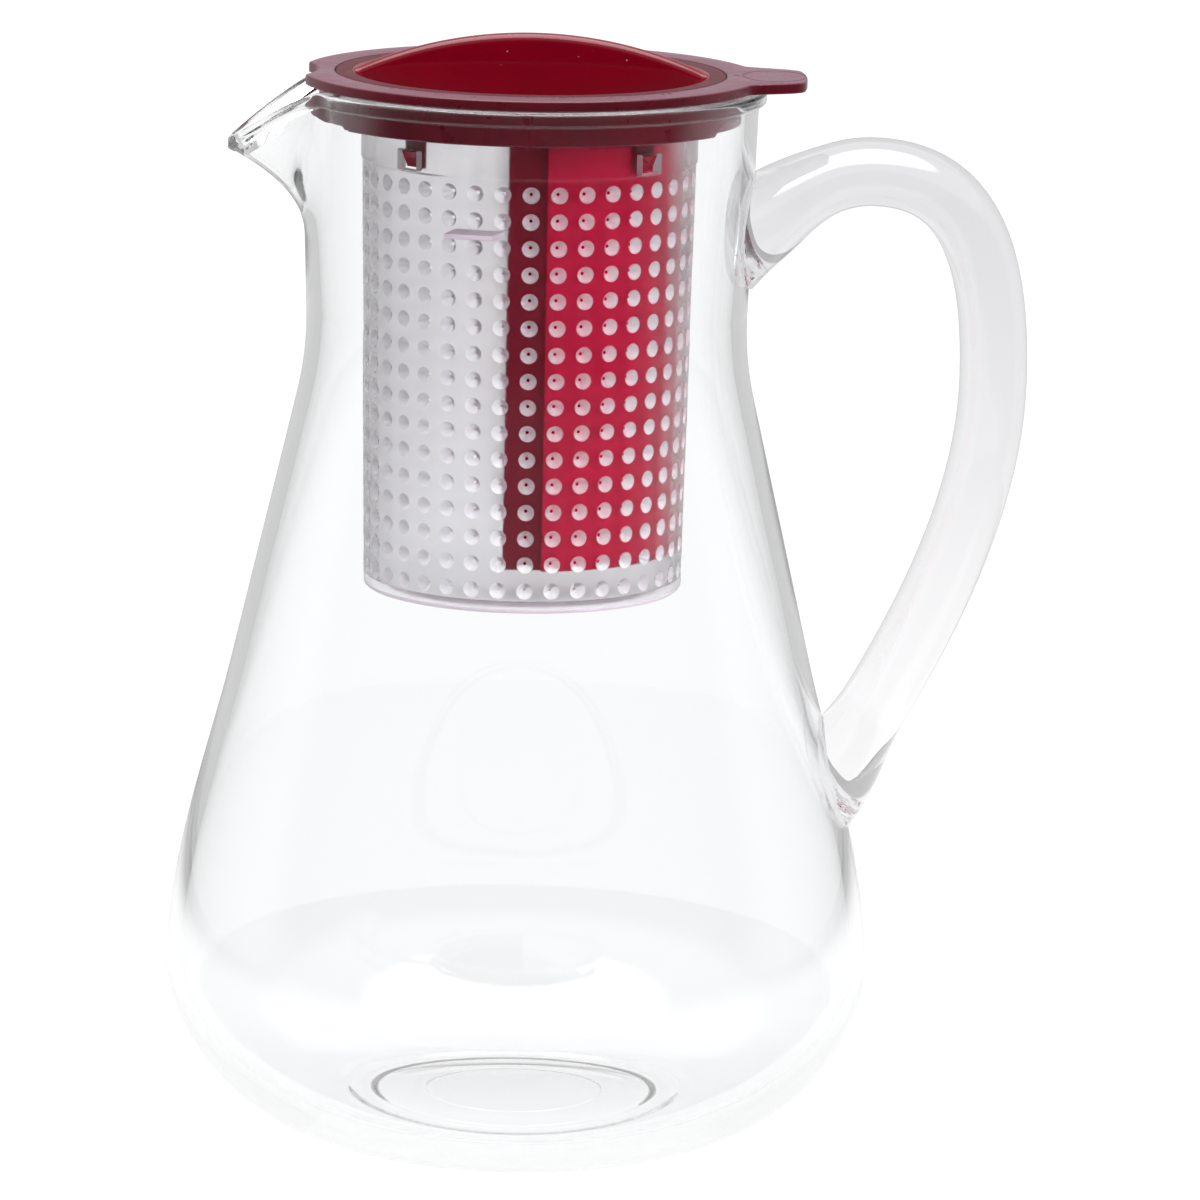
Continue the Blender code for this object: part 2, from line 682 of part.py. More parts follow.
def upright_block(angle, inner_radius, outer_radius, width, bottom, top):
    sideways = Vector((-math.sin(angle), math.cos(angle), 0)) * width / 2
    inner = polar(inner_radius, angle, bottom)
    outer = polar(outer_radius, angle, bottom)
    outline = [inner - sideways, outer - sideways, outer + sideways, inner + sideways]
    return prism(outline, Vector((0, 0, top - bottom)))


def make_basket(axis):
    clear = plastic("clear_basket_plastic", (0.92, 0.91, 0.95), 0.1, 0.9)
    half_flat = math.pi / HOLE_COLUMNS
    corners = [HOLE_AZIMUTH + half_flat + angle for angle in even_angles(HOLE_COLUMNS)]
    basket = add_object("filter_basket", turned(basket_profile(), corners), axis, clear)
    combine(basket, add_tool("perforation", perforation(), axis), "DIFFERENCE")
    windows = bmesh.new()
    for angle in HOOK_ANGLES:
        inner = BASKET_TOP_RADIUS - 2 * BASKET_WALL
        outer = BASKET_TOP_RADIUS + 2 * BASKET_WALL
        merge_into(windows, upright_block(angle, inner, outer, WINDOW_WIDTH, WINDOW_BOTTOM, WINDOW_TOP))
    combine(basket, add_tool("hook_windows", windows, axis), "DIFFERENCE")
    rooted = BASKET_TOP_RADIUS - BASKET_WALL / 2
    top = LEDGE_HEIGHT + LEDGE_THICKNESS
    ledge = upright_block(LEDGE_AZIMUTH, rooted, LEDGE_REACH_RADIUS, LEDGE_WIDTH, LEDGE_HEIGHT, top)
    combine(basket, add_tool("level_ledge", ledge, axis), "UNION")
    return basket


clear_scene()
pitcher_axis = bpy.data.objects.new("pitcher_axis", None)
pitcher_axis.location = (AXIS_X, 0, 0)
bpy.context.scene.collection.objects.link(pitcher_axis)
make_body(pitcher_axis)
make_handle(pitcher_axis)
make_lid_ring(pitcher_axis)
make_dial(pitcher_axis)
make_shutters(pitcher_axis)
make_basket(pitcher_axis)
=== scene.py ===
"""Looks of the iced tea pitcher: every piece is modelled about the pitcher's own axis at its real size,
then set on that axis in the frame, in the order in which the pieces go together."""

import json
import math

import bpy
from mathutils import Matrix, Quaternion, Vector
from mathutils.geometry import interpolate_bezier


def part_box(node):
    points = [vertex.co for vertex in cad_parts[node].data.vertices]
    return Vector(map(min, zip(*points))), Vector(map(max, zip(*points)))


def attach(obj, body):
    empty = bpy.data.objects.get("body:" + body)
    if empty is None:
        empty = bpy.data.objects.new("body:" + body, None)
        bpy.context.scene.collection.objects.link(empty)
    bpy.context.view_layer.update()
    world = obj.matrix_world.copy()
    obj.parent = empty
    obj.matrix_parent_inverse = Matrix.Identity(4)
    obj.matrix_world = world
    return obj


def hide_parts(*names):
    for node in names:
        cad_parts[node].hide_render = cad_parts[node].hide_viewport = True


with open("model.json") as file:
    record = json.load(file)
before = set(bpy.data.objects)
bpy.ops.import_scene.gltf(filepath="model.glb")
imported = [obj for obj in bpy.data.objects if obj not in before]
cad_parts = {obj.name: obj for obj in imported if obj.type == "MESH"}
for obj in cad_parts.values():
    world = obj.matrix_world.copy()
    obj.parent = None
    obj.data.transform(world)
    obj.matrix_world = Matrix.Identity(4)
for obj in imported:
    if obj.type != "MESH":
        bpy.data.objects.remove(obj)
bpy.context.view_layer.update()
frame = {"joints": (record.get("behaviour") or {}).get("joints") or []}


# Pitcher body
# The vessel is one clear moulding, polished inside and out: a bulging foot, a slim neck and a beaded rim.
# Its spout is drawn out of the rim opposite the handle, and it stands on a flat ring round a shallow recess.

MM = 0.001
WELD = 0.004 * MM
brew_turn = next(joint for joint in frame["joints"] if joint["name"] == "brew_turn")
axis_x = brew_turn["pos_m"][0]
body_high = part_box("pitcher_body")[1]
rim_height = body_high.z
bulge_radius = body_high.y
bulge_height = 35.9 * MM
bulge_power = 1.81
foot_inner_radius = 31.0 * MM
foot_outer_radius = 37.2 * MM
foot_height = 1.0 * MM
foot_recess = 1.4 * MM
stamp_radius = 19.2 * MM
stamp_depth = 0.12 * MM
stamp_slope = 0.4 * MM
stamp_fillet = 0.3 * MM
foot_fillet = 0.8 * MM
foot_roll = 2.2 * MM
foot_roll_fillet = 1.6 * MM
floor_thickness = 4.5 * MM
floor_radius = 33.0 * MM
cone_start = 101.3 * MM
cone_slope = -0.2325
waist_radius = 45.6 * MM
waist_height = 166.4 * MM
waist_blend = 9.0 * MM
neck_radius = 47.4 * MM
neck_wall = 2.7 * MM
bulge_wall = 3.2 * MM
bead_radius = 48.9 * MM
bead_height = 3.2 * MM
bead_edge = 1.0 * MM
bead_step = 0.3 * MM
bead_slope = 0.5 * MM
bead_fillet = 0.6 * MM
spout_start = 191.0 * MM
spout_reach = 13.6 * MM
spout_drop = 12.0 * MM
spout_half_angle = math.radians(27)
spout_tip_rounding = 0.25
spout_flank_power = 1.6
spout_flare_power = 2.2
spout_rows = 24
bulge_steps = 40
shoulder_steps = 24
body_sides = 240


def rounded(corners, steps=4):
    """Outline through (radius, height, fillet) corners, each corner eased over its fillet length."""
    outline = []
    last = len(corners) - 1
    for index, (radius, height, fillet) in enumerate(corners):
        corner = Vector((radius, height))
        if fillet == 0 or index in (0, last):
            outline.append((radius, height))
            continue
        before = Vector(corners[index - 1][:2])
        after = Vector(corners[index + 1][:2])
        start = corner + (before - corner).normalized() * fillet
        end = corner + (after - corner).normalized() * fillet
        for step in range(steps + 1):
            share = step / steps
            point = start * (1 - share) ** 2 + corner * 2 * share * (1 - share) + end * share**2
            outline.append((point.x, point.y))
    return outline


def turned(name, outline, steps=192):
    """Draws an outline of (radius, height) points and spins it once round the axis, as on a lathe."""
    bpy.ops.object.select_all(action="DESELECT")
    bpy.ops.mesh.primitive_plane_add(size=MM, location=(outline[0][0], 0, outline[0][1]))
    bpy.ops.object.transform_apply(location=True)
    piece = bpy.context.object
    piece.name = name
    piece.data.name = name
    bpy.ops.object.mode_set(mode="EDIT")
    bpy.ops.mesh.select_all(action="SELECT")
    bpy.ops.mesh.merge(type="CENTER")
    for here, following in zip(outline, outline[1:]):
        step = (following[0] - here[0], 0, following[1] - here[1])
        bpy.ops.mesh.extrude_vertices_move(TRANSFORM_OT_translate={"value": step})
    bpy.ops.mesh.select_all(action="SELECT")
    bpy.ops.mesh.spin(steps=steps, angle=math.tau, center=(0, 0, 0), axis=(0, 0, 1))
    bpy.ops.mesh.select_all(action="SELECT")
    bpy.ops.mesh.remove_doubles(threshold=WELD)
    bpy.ops.mesh.normals_make_consistent(inside=False)
    bpy.ops.object.mode_set(mode="OBJECT")
    return piece


def pick(piece):
    """Makes a piece the active one and the only one that is selected."""
    bpy.ops.object.select_all(action="DESELECT")
    bpy.context.view_layer.objects.active = piece
    piece.select_set(True)


def on_axis(piece, smooth_angle=32):
    """Smooths a finished piece and sets it on the pitcher's axis, with its place in its mesh."""
    pick(piece)
    piece.location = (axis_x, 0, 0)
    bpy.ops.object.transform_apply(location=True, rotation=True, scale=True)
    bpy.ops.object.shade_smooth_by_angle(angle=math.radians(smooth_angle))


def wall_curve(start_radius, start_height, end_radius):
    """Superellipse quarter from the flat foot out to the upright wall at the widest point."""
    points = []
    for step in range(1, bulge_steps + 1):
        angle = math.pi / 2 * step / bulge_steps
        outward = math.sin(angle) ** (2 / bulge_power)
        upward = 1 - math.cos(angle) ** (2 / bulge_power)
        radius = start_radius + (end_radius - start_radius) * outward
        points.append((radius, start_height + (bulge_height - start_height) * upward))
    return points


def cone_radius(height):
    """Radius of the straight cone below the waist."""
    return waist_radius + cone_slope * (height - waist_height)


def neck_radius_at(height):
    """Radius of the neck, which opens a little from the waist to the rim."""
    share = (height - waist_height) / (rim_height - waist_height)
    return waist_radius + (neck_radius - waist_radius) * share


def upper_wall(wall):
    """From the widest point through the shoulder and the straight cone to the soft waist."""
    points = []
    rise = cone_start - bulge_height
    end_radius = cone_radius(cone_start)
    for step in range(1, shoulder_steps + 1):
        share = step / shoulder_steps
        keep = 2 * share**3 - 3 * share**2 + 1
        slope = (share**3 - share**2) * rise * cone_slope
        radius = keep * bulge_radius + (1 - keep) * end_radius + slope
        points.append((radius - wall, bulge_height + rise * share))
    below = Vector((cone_radius(waist_height - waist_blend), waist_height - waist_blend))
    above = Vector((neck_radius_at(waist_height + waist_blend), waist_height + waist_blend))
    middle = Vector((waist_radius, waist_height))
    for step in range(shoulder_steps + 1):
        share = step / shoulder_steps
        point = below * (1 - share) ** 2 + middle * 2 * share * (1 - share) + above * share**2
        points.append((point.x - wall, point.y))
    return points


bead_bottom = rim_height - bead_height
row_heights = [spout_start + (bead_bottom - spout_start) * row / spout_rows for row in range(spout_rows + 1)]
outside = rounded([
    (0, foot_recess + stamp_depth, 0),
    (stamp_radius - stamp_slope, foot_recess + stamp_depth, stamp_fillet),
    (stamp_radius, foot_recess, stamp_fillet),
    (foot_inner_radius - foot_recess, foot_recess, foot_fillet),
    (foot_inner_radius, 0, foot_fillet),
    (foot_outer_radius - foot_roll, 0, foot_roll_fillet),
    (foot_outer_radius, foot_height, 0),
])
outside += wall_curve(foot_outer_radius, foot_height, bulge_radius)
outside += upper_wall(0)
outside += [(neck_radius_at(height), height) for height in row_heights]
outside += rounded([
    (neck_radius_at(bead_bottom) + bead_step, bead_bottom, 0),
    (bead_radius, bead_bottom + bead_slope, bead_fillet),
    (bead_radius, rim_height, bead_edge),
    (neck_radius - neck_wall, rim_height, bead_edge),
    (neck_radius_at(bead_bottom) - neck_wall, bead_bottom, 0),
])
inside = [(0, floor_thickness), (floor_radius / 2, floor_thickness), (floor_radius, floor_thickness)]
inside += wall_curve(floor_radius, floor_thickness, bulge_radius - bulge_wall)
inside += upper_wall(bulge_wall)
inside += [(neck_radius_at(height) - neck_wall, height) for height in row_heights[:-1]]
pitcher_body = turned("clear_pitcher", outside + inside[::-1], body_sides)

for vertex in pitcher_body.data.vertices:
    if vertex.co.z <= spout_start:
        continue
    radius = math.hypot(vertex.co.x, vertex.co.y)
    angle = math.atan2(vertex.co.y, vertex.co.x)
    offset = (math.pi - abs(angle)) / spout_half_angle
    if offset >= 1:
        continue
    widest = math.hypot(1, spout_tip_rounding)
    share = (widest - math.hypot(offset, spout_tip_rounding)) / (widest - spout_tip_rounding)
    share = share**spout_flank_power
    rise = min((vertex.co.z - spout_start) / (bead_bottom - spout_start), 1)
    drawn = radius + spout_reach * share * rise**spout_flare_power
    height = vertex.co.z - spout_drop * share * rise
    vertex.co = (drawn * math.cos(angle), drawn * math.sin(angle), height)
on_axis(pitcher_body)


def new_finish(name):
    """A new node material, its shader and its node tree."""
    finish = bpy.data.materials.new(name)
    finish.use_nodes = True
    tree = finish.node_tree
    return finish, tree.nodes["Principled BSDF"], tree


def noise(tree, scale, detail):
    """Noise on the piece's own coordinates, in features of about 1 / scale metres."""
    place = tree.nodes.new("ShaderNodeTexCoord")
    texture = tree.nodes.new("ShaderNodeTexNoise")
    texture.inputs["Scale"].default_value = scale
    texture.inputs["Detail"].default_value = detail
    tree.links.new(place.outputs["Object"], texture.inputs["Vector"])
    return texture.outputs["Fac"]


def spread(tree, value, low, high, start=0.3, end=0.7):
    """Maps a texture value from start..end to low..high."""
    span = tree.nodes.new("ShaderNodeMapRange")
    span.inputs["From Min"].default_value = start
    span.inputs["From Max"].default_value = end
    span.inputs["To Min"].default_value = low
    span.inputs["To Max"].default_value = high
    tree.links.new(value, span.inputs["Value"])
    return span.outputs["Result"]


def relief(tree, shader, value, strength, depth):
    """Raises the surface a little where the texture value is high."""
    bump = tree.nodes.new("ShaderNodeBump")
    bump.inputs["Strength"].default_value = strength
    bump.inputs["Distance"].default_value = depth
    tree.links.new(value, bump.inputs["Height"])
    tree.links.new(bump.outputs["Normal"], shader.inputs["Normal"])


def clear_plastic(name, tint, roughness, wave, refraction=1.49):
    """Polished clear plastic, with the slight waves of the moulding and a little haze from handling."""
    finish, shader, tree = new_finish(name)
    shader.inputs["Base Color"].default_value = (*tint, 1)
    shader.inputs["Transmission Weight"].default_value = 1
    shader.inputs["IOR"].default_value = refraction
    tree.links.new(spread(tree, noise(tree, scale=140, detail=3), *roughness), shader.inputs["Roughness"])
    relief(tree, shader, noise(tree, scale=45, detail=1), strength=0.25, depth=wave)
    return finish


pitcher_tint = (0.975, 0.98, 0.984)
polish = (0.0, 0.03)
wall_wave = 0.12 * MM
pitcher_plastic = clear_plastic("clear_pitcher_plastic", pitcher_tint, polish, wall_wave)
pitcher_body.data.materials.append(pitcher_plastic)
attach(pitcher_body, "pitcher")
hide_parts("pitcher_body")


# Handle
# A solid loop of the same clear plastic, oval in section, that widens into a pad at each end.
# It is moulded apart and welded to the neck and the cone, so a fine line shows where the pads meet the wall.
# Its plastic is tinted a little grey as painted shade, and the grey is painted darker towards the top of the
# loop.

handle_width = 22.0 * MM
handle_thickness = 14.0 * MM
section_power = 2.15
pad_flare = 1.3
pad_length = 30.0 * MM
weld_line = 0.3 * MM
loop_spans = [
    [(40, 187), (48, 196.5), (60, 205.7), (71, 205.7)],
    [(71, 205.7), (89.5, 205.7), (97.5, 192), (97.5, 163)],
    [(97.5, 163), (97.5, 139), (87, 114.4), (74, 91.8)],
    [(74, 91.8), (69.3, 83.7), (64.7, 75.7), (60, 67.6)],
]
span_steps = 20
section_sides = 48
shaded_low_tint = (0.92, 0.92, 0.93)
shaded_top_tint = (0.72, 0.72, 0.735)
tint_start = 90 * MM
tint_end = 205 * MM
centres = []
for span in loop_spans:
    knots = [Vector((along * MM, 0, height * MM)) for along, height in span]
    line = interpolate_bezier(*knots, span_steps + 1)
    centres += line if not centres else line[1:]
travel = [0]
for here, following in zip(centres, centres[1:]):
    travel.append(travel[-1] + (following - here).length)


def ease(low, high, value):
    """0 below low, 1 above high, and an S-curve between them."""
    share = min(max((value - low) / (high - low), 0), 1)
    return share * share * (3 - 2 * share)


def unit_rod(sides, lengths):
    """A rod of radius 1 in lengths of 1, to be drawn out along a line."""
    bpy.ops.object.select_all(action="DESELECT")
    bpy.ops.mesh.primitive_circle_add(vertices=sides, radius=1, fill_type="NGON")
    bpy.ops.object.mode_set(mode="EDIT")
    for length in range(lengths):
        bpy.ops.mesh.extrude_region_move(TRANSFORM_OT_translate={"value": (0, 0, 1)})
    bpy.ops.object.mode_set(mode="OBJECT")
    return bpy.context.object


def face_outwards():
    """Turns the faces of the active piece outwards."""
    bpy.ops.object.mode_set(mode="EDIT")
    bpy.ops.mesh.select_all(action="SELECT")
    bpy.ops.mesh.normals_make_consistent(inside=False)
    bpy.ops.object.mode_set(mode="OBJECT")


handle = unit_rod(section_sides, len(centres) - 1)
handle.name = "clear_handle"
for vertex in handle.data.vertices:
    index = round(vertex.co.z)
    centre = centres[index]
    along = centres[min(index + 1, len(centres) - 1)] - centres[max(index - 1, 0)]
    across = Vector((0, 1, 0)).cross(along.normalized())
    from_end = min(travel[index], travel[-1] - travel[index])
    flare = 1 + (pad_flare - 1) * (1 - ease(pad_length / 3, pad_length, from_end))
    thick = math.copysign(abs(vertex.co.x) ** (2 / section_power), vertex.co.x) * handle_thickness / 2
    wide = math.copysign(abs(vertex.co.y) ** (2 / section_power), vertex.co.y) * handle_width / 2
    vertex.co = centre + (across * thick + Vector((0, wide, 0))) * flare
face_outwards()


def carve(piece, tool, operation="DIFFERENCE"):
    """Cuts a tool out of a piece, or joins it on, and throws the tool away."""
    step = piece.modifiers.new("carve", "BOOLEAN")
    step.object = tool
    step.operation = operation
    step.solver = "EXACT"
    bpy.context.view_layer.objects.active = piece
    bpy.ops.object.modifier_apply(modifier=step.name)
    bpy.data.objects.remove(tool)


wall = [(0, foot_height)] + wall_curve(foot_outer_radius, foot_height, bulge_radius) + upper_wall(0)
wall = [(radius + weld_line if radius else 0, height) for radius, height in wall]
wall += [(neck_radius + weld_line, rim_height), (0, rim_height)]
carve(handle, turned("wall_shape", wall))
on_axis(handle, smooth_angle=40)
handle_plastic = clear_plastic("clear_handle_plastic", shaded_low_tint, polish, wall_wave)


def blended(tree, share, first, second):
    """A colour between two, by a share from 0 to 1."""
    mix = tree.nodes.new("ShaderNodeMix")
    mix.data_type = "RGBA"
    mix.inputs["A"].default_value = (*first, 1)
    mix.inputs["B"].default_value = (*second, 1)
    tree.links.new(share, mix.inputs["Factor"])
    return mix


tree = handle_plastic.node_tree
place = tree.nodes.new("ShaderNodeTexCoord")
split = tree.nodes.new("ShaderNodeSeparateXYZ")
tree.links.new(place.outputs["Object"], split.inputs["Vector"])
# Painted shade: the base colour turns from the lower grey to a darker grey with height, for the shading of
# the loop.
height_share = spread(tree, split.outputs["Z"], 0, 1, tint_start, tint_end)
painted_greying = blended(tree, height_share, shaded_low_tint, shaded_top_tint)
tree.links.new(painted_greying.outputs["Result"], tree.nodes["Principled BSDF"].inputs["Base Color"])
handle.data.materials.append(handle_plastic)
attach(handle, "pitcher")
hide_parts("handle")


# Lid ring
# A dark red satin moulding: a flat flange on the pitcher's rim, a plug skirt in the neck and a web inside.
# A thumb tab reaches over the handle, a notch clears the spout, and four hooks under the web hold the basket.

ring_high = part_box("lid_ring")[1]
lid_top = ring_high.z
flange_radius = 47.5 * MM
flange_thickness = 2.1 * MM
tab_reach = ring_high.x - axis_x
tab_flat_angle = math.radians(9)
tab_root_angle = math.radians(20)
notch_depth = 3.6 * MM
notch_half_angle = math.radians(12.5)
skirt_radius = 43.7 * MM
skirt_wall = 1.7 * MM
skirt_bottom = lid_top - flange_thickness - 7.6 * MM
skirt_relief = 0.8 * MM
relief_half_angle = math.radians(33)
seat_radius = 40.6 * MM
seat_inner_radius = 38.9 * MM
seat_height = lid_top - 3.0 * MM
web_top = lid_top - 5.0 * MM
web_bottom = web_top - 1.8 * MM
web_bore_radius = 29.5 * MM
under_flange = lid_top - flange_thickness
skirt_start = web_bottom - 1.0 * MM
skirt_edge = 0.5 * MM
skirt_edge_zone = 0.6 * MM
flange_lower_edge = 0.35 * MM
flange_upper_edge = 0.45 * MM
seat_edge = 0.2 * MM
inner_corner = 0.3 * MM
lid_ring = turned("lid_ring_plastic", rounded([
    (skirt_radius - skirt_wall, skirt_start, 0),
    (skirt_radius - skirt_wall, skirt_bottom, inner_corner),
    (skirt_radius, skirt_bottom, skirt_edge),
    (skirt_radius, under_flange, inner_corner),
    (flange_radius, under_flange, flange_lower_edge),
    (flange_radius, lid_top, flange_upper_edge),
    (seat_radius, lid_top, seat_edge),
    (seat_radius, seat_height, seat_edge),
    (seat_inner_radius, seat_height, seat_edge),
    (seat_inner_radius, web_top, inner_corner),
    (web_bore_radius, web_top, seat_edge),
    (web_bore_radius, web_bottom, seat_edge),
    (skirt_radius - skirt_wall, web_bottom, inner_corner),
    (skirt_radius - skirt_wall, skirt_start, 0),
]), body_sides)

for vertex in lid_ring.data.vertices:
    radius = math.hypot(vertex.co.x, vertex.co.y)
    angle = math.atan2(vertex.co.y, vertex.co.x)
    on_skirt_edge = vertex.co.z < skirt_bottom + skirt_edge_zone
    if radius > (skirt_radius + flange_radius) / 2:
        tab = (tab_reach - flange_radius) * (1 - ease(tab_flat_angle, tab_root_angle, abs(angle)))
        notch = notch_depth * max(0, 1 - ((math.pi - abs(angle)) / notch_half_angle) ** 2)
        moved = radius + tab - notch
        vertex.co.x = moved * math.cos(angle)
        vertex.co.y = moved * math.sin(angle)
    elif on_skirt_edge and abs(math.remainder(angle, math.pi)) < relief_half_angle:
        vertex.co.z += skirt_relief


def block(size, place, edge):
    """A box with eased edges, ready to be shaped or used as a cutter."""
    bpy.ops.object.select_all(action="DESELECT")
    bpy.ops.mesh.primitive_cube_add(size=1, location=place, scale=size)
    bpy.ops.object.transform_apply(location=True, rotation=False, scale=True)
    if edge:
        bpy.ops.object.mode_set(mode="EDIT")
        bpy.ops.mesh.select_all(action="SELECT")
        bpy.ops.mesh.bevel(offset=edge, segments=3, affect="EDGES")
        bpy.ops.object.mode_set(mode="OBJECT")
    return bpy.context.object


def turn_about_axis(piece, angle):
    """Turns a piece's mesh round the pitcher's axis."""
    pick(piece)
    piece.rotation_euler.z = angle
    bpy.ops.object.transform_apply(location=False, rotation=True, scale=False)


hook_angles = [math.radians(45 + 90 * quarter) for quarter in range(4)]
hook_width = 4.7 * MM
strap_inner = 31.0 * MM
strap_outer = 32.0 * MM
nose_radius = 34.0 * MM
nose_top = 211.6 * MM
nose_bottom = 208.3 * MM
nose_lead = 0.4 * MM
strap_top = web_top - 0.9 * MM
hook_size = (strap_outer - strap_inner, hook_width, strap_top - nose_bottom)
hook_place = ((strap_inner + strap_outer) / 2, 0, (strap_top + nose_bottom) / 2)
for angle in hook_angles:
    hook = block(hook_size, hook_place, edge=0)
    bpy.ops.object.mode_set(mode="EDIT")
    bpy.ops.mesh.select_all(action="SELECT")
    bpy.ops.mesh.bisect(plane_co=(0, 0, nose_top), plane_no=(0, 0, 1), use_fill=False)
    bpy.ops.mesh.select_all(action="DESELECT")
    bpy.ops.object.mode_set(mode="OBJECT")
    for face in hook.data.polygons:
        face.select = face.normal.x > 0.9 and face.center.z < nose_top
    bpy.ops.object.mode_set(mode="EDIT")
    bpy.ops.mesh.extrude_region_move(TRANSFORM_OT_translate={"value": (nose_radius - strap_outer, 0, 0)})
    bpy.ops.object.mode_set(mode="OBJECT")
    for vertex in hook.data.vertices:
        if vertex.co.x > strap_outer + WELD and vertex.co.z < nose_bottom + WELD:
            vertex.co.x = strap_outer + nose_lead
    turn_about_axis(hook, angle)
    carve(lid_ring, hook, "UNION")

groove_centre = 50.4 * MM
groove_radius = 6.5 * MM
groove_width = 0.32 * MM
groove_stretch = 1.35
tick_size = (0.9 * MM, 0.55 * MM, 0.5 * MM)
tick_radius = 41.9 * MM
tick_offset = 0.9 * MM
tick_edge = 0.1 * MM
tick_angle = math.radians(-49)
dot_size = (1.1 * MM, 0.6 * MM, 0.4 * MM)
dot_radius = 42.6 * MM
dot_edge = 0.12 * MM
bpy.ops.object.select_all(action="DESELECT")
bpy.ops.mesh.primitive_torus_add(
    location=(groove_centre, 0, lid_top), major_segments=96, minor_segments=10,
    major_radius=groove_radius, minor_radius=groove_width / 2,
)
pad_groove = bpy.context.object
bpy.ops.object.transform_apply(location=True)
for vertex in pad_groove.data.vertices:
    vertex.co.y *= groove_stretch
carve(lid_ring, pad_groove)
for offset in (-tick_offset, tick_offset):
    tick = block(tick_size, (tick_radius, offset, lid_top), tick_edge)
    turn_about_axis(tick, tick_angle)
    carve(lid_ring, tick)
carve(lid_ring, block(dot_size, (dot_radius, 0, lid_top), dot_edge))
on_axis(lid_ring)


def combined(tree, operation, first, second):
    """Two numbers or node outputs, put together by a maths operation."""
    maths = tree.nodes.new("ShaderNodeMath")
    maths.operation = operation
    for socket, value in zip(maths.inputs, (first, second)):
        if isinstance(value, float):
            socket.default_value = value
        else:
            tree.links.new(value, socket)
    return maths.outputs[0]


dust_colour = (0.75, 0.62, 0.62)
dust_scale = 420


def solid_plastic(name, colour, shade, roughness, grain, depth, specular=0.5, dust=0.0):
    """Coloured plastic with a moulded grain, slight colour clouds and a scatter of pale dust."""
    finish, shader, tree = new_finish(name)
    shader.inputs["Specular IOR Level"].default_value = specular
    cloudiness = spread(tree, noise(tree, scale=120, detail=4), 0, 1)
    clouds = blended(tree, cloudiness, shade, colour)
    specks = tree.nodes.new("ShaderNodeTexVoronoi")
    specks.inputs["Scale"].default_value = dust_scale
    place = tree.nodes.new("ShaderNodeTexCoord")
    tree.links.new(place.outputs["Object"], specks.inputs["Vector"])
    near = spread(tree, specks.outputs["Distance"], 1, 0, start=0.03, end=0.09)
    rare = spread(tree, noise(tree, scale=160, detail=1), 0, dust, start=0.6, end=0.66)
    dusty = blended(tree, combined(tree, "MULTIPLY", near, rare), colour, dust_colour)
    tree.links.new(clouds.outputs["Result"], dusty.inputs["A"])
    tree.links.new(dusty.outputs["Result"], shader.inputs["Base Color"])
    tree.links.new(spread(tree, noise(tree, scale=300, detail=3), *roughness), shader.inputs["Roughness"])
    relief(tree, shader, noise(tree, grain, detail=2), strength=0.35, depth=depth)
    return finish


lid_roughness = (0.26, 0.36)
lid_grain = 2600
lid_grain_depth = 0.02 * MM
loose_dust = 0.6
lid_finish = solid_plastic(
    "satin_maroon_plastic", (0.095, 0.0005, 0.008), (0.08, 0.0005, 0.007),
    lid_roughness, lid_grain, lid_grain_depth, specular=0.4, dust=loose_dust,
)
lid_shader = lid_finish.node_tree.nodes["Principled BSDF"]
lid_shader.inputs["Sheen Weight"].default_value = 0.2
lid_shader.inputs["Sheen Roughness"].default_value = 0.35
lid_shader.inputs["Sheen Tint"].default_value = (0.75, 0.6, 0.9, 1)
lid_ring.data.materials.append(lid_finish)
# Painted light: the hooks get a brighter copy of the lid's maroon, for light that hardly reaches them inside
# the basket.
lit_hook_finish = solid_plastic(
    "painted_light_hook_plastic", (0.24, 0.002, 0.016), (0.21, 0.002, 0.014), lid_roughness, lid_grain, lid_grain_depth
)
lid_ring.data.materials.append(lit_hook_finish)
for face in lid_ring.data.polygons:
    radius = math.hypot(face.center.x - axis_x, face.center.y)
    if radius < nose_radius + WELD and face.center.z < web_bottom - WELD:
        face.material_index = 1
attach(lid_ring, "lid")
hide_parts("lid_ring")


# Dial
# The red knob that sits flush in the ring: a round dish with an arched grip fin across it, all one moulding.
# Its collar passes through the web and carries the turning shutter.

dial_radius = 40.3 * MM
dish_radius = 36.8 * MM
dish_depth = 8.0 * MM
dish_wall = 1.8 * MM
dial_rim = 2.7 * MM
collar_inner = 27.9 * MM
collar_outer = 29.1 * MM
collar_bottom = lid_top - 6.2 * MM
fin_half_length = 37.0 * MM
fin_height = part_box("dial")[1].z - lid_top
fin_thickness = 4.0 * MM
fin_edge = 1.8 * MM
fin_edge_share = 0.8
fin_sink = 0.05 * MM
dish_lip = 0.5 * MM
rim_edge = 0.3 * MM
collar_edge = 0.2 * MM
dish_steps = 24
dish_last_radius = dish_radius * (dish_steps - 1) / dish_steps
under_outer_radius = 33.0 * MM
under_inner_radius = 18.0 * MM
dish_sphere = (dish_radius**2 + dish_depth**2) / (2 * dish_depth)


def dish_height(radius):
    """Height of the dish's upper face, a shallow part of a sphere."""
    return lid_top - dish_depth + dish_sphere - math.sqrt(dish_sphere**2 - radius**2)


def under_dish(radius, fillet=0):
    """Corner of the outline on the dish's underside."""
    return radius, dish_height(radius) - dish_wall, fillet


top_side = [(radius, dish_height(radius)) for radius in
            (dish_radius * step / dish_steps for step in range(dish_steps))]
rim_side = rounded([
    (dish_last_radius, dish_height(dish_last_radius), 0),
    (dish_radius, lid_top, dish_lip),
    (dial_radius, lid_top, rim_edge),
    (dial_radius, lid_top - dial_rim, collar_edge),
    (dish_radius, lid_top - dial_rim, collar_edge),
    under_dish(under_outer_radius),
    under_dish(collar_outer, collar_edge),
    (collar_outer, collar_bottom, collar_edge),
    (collar_inner, collar_bottom, collar_edge),
    under_dish(collar_inner, collar_edge),
    under_dish(under_inner_radius),
    under_dish(0),
])
dial = turned("dial_knob", top_side + rim_side[1:])

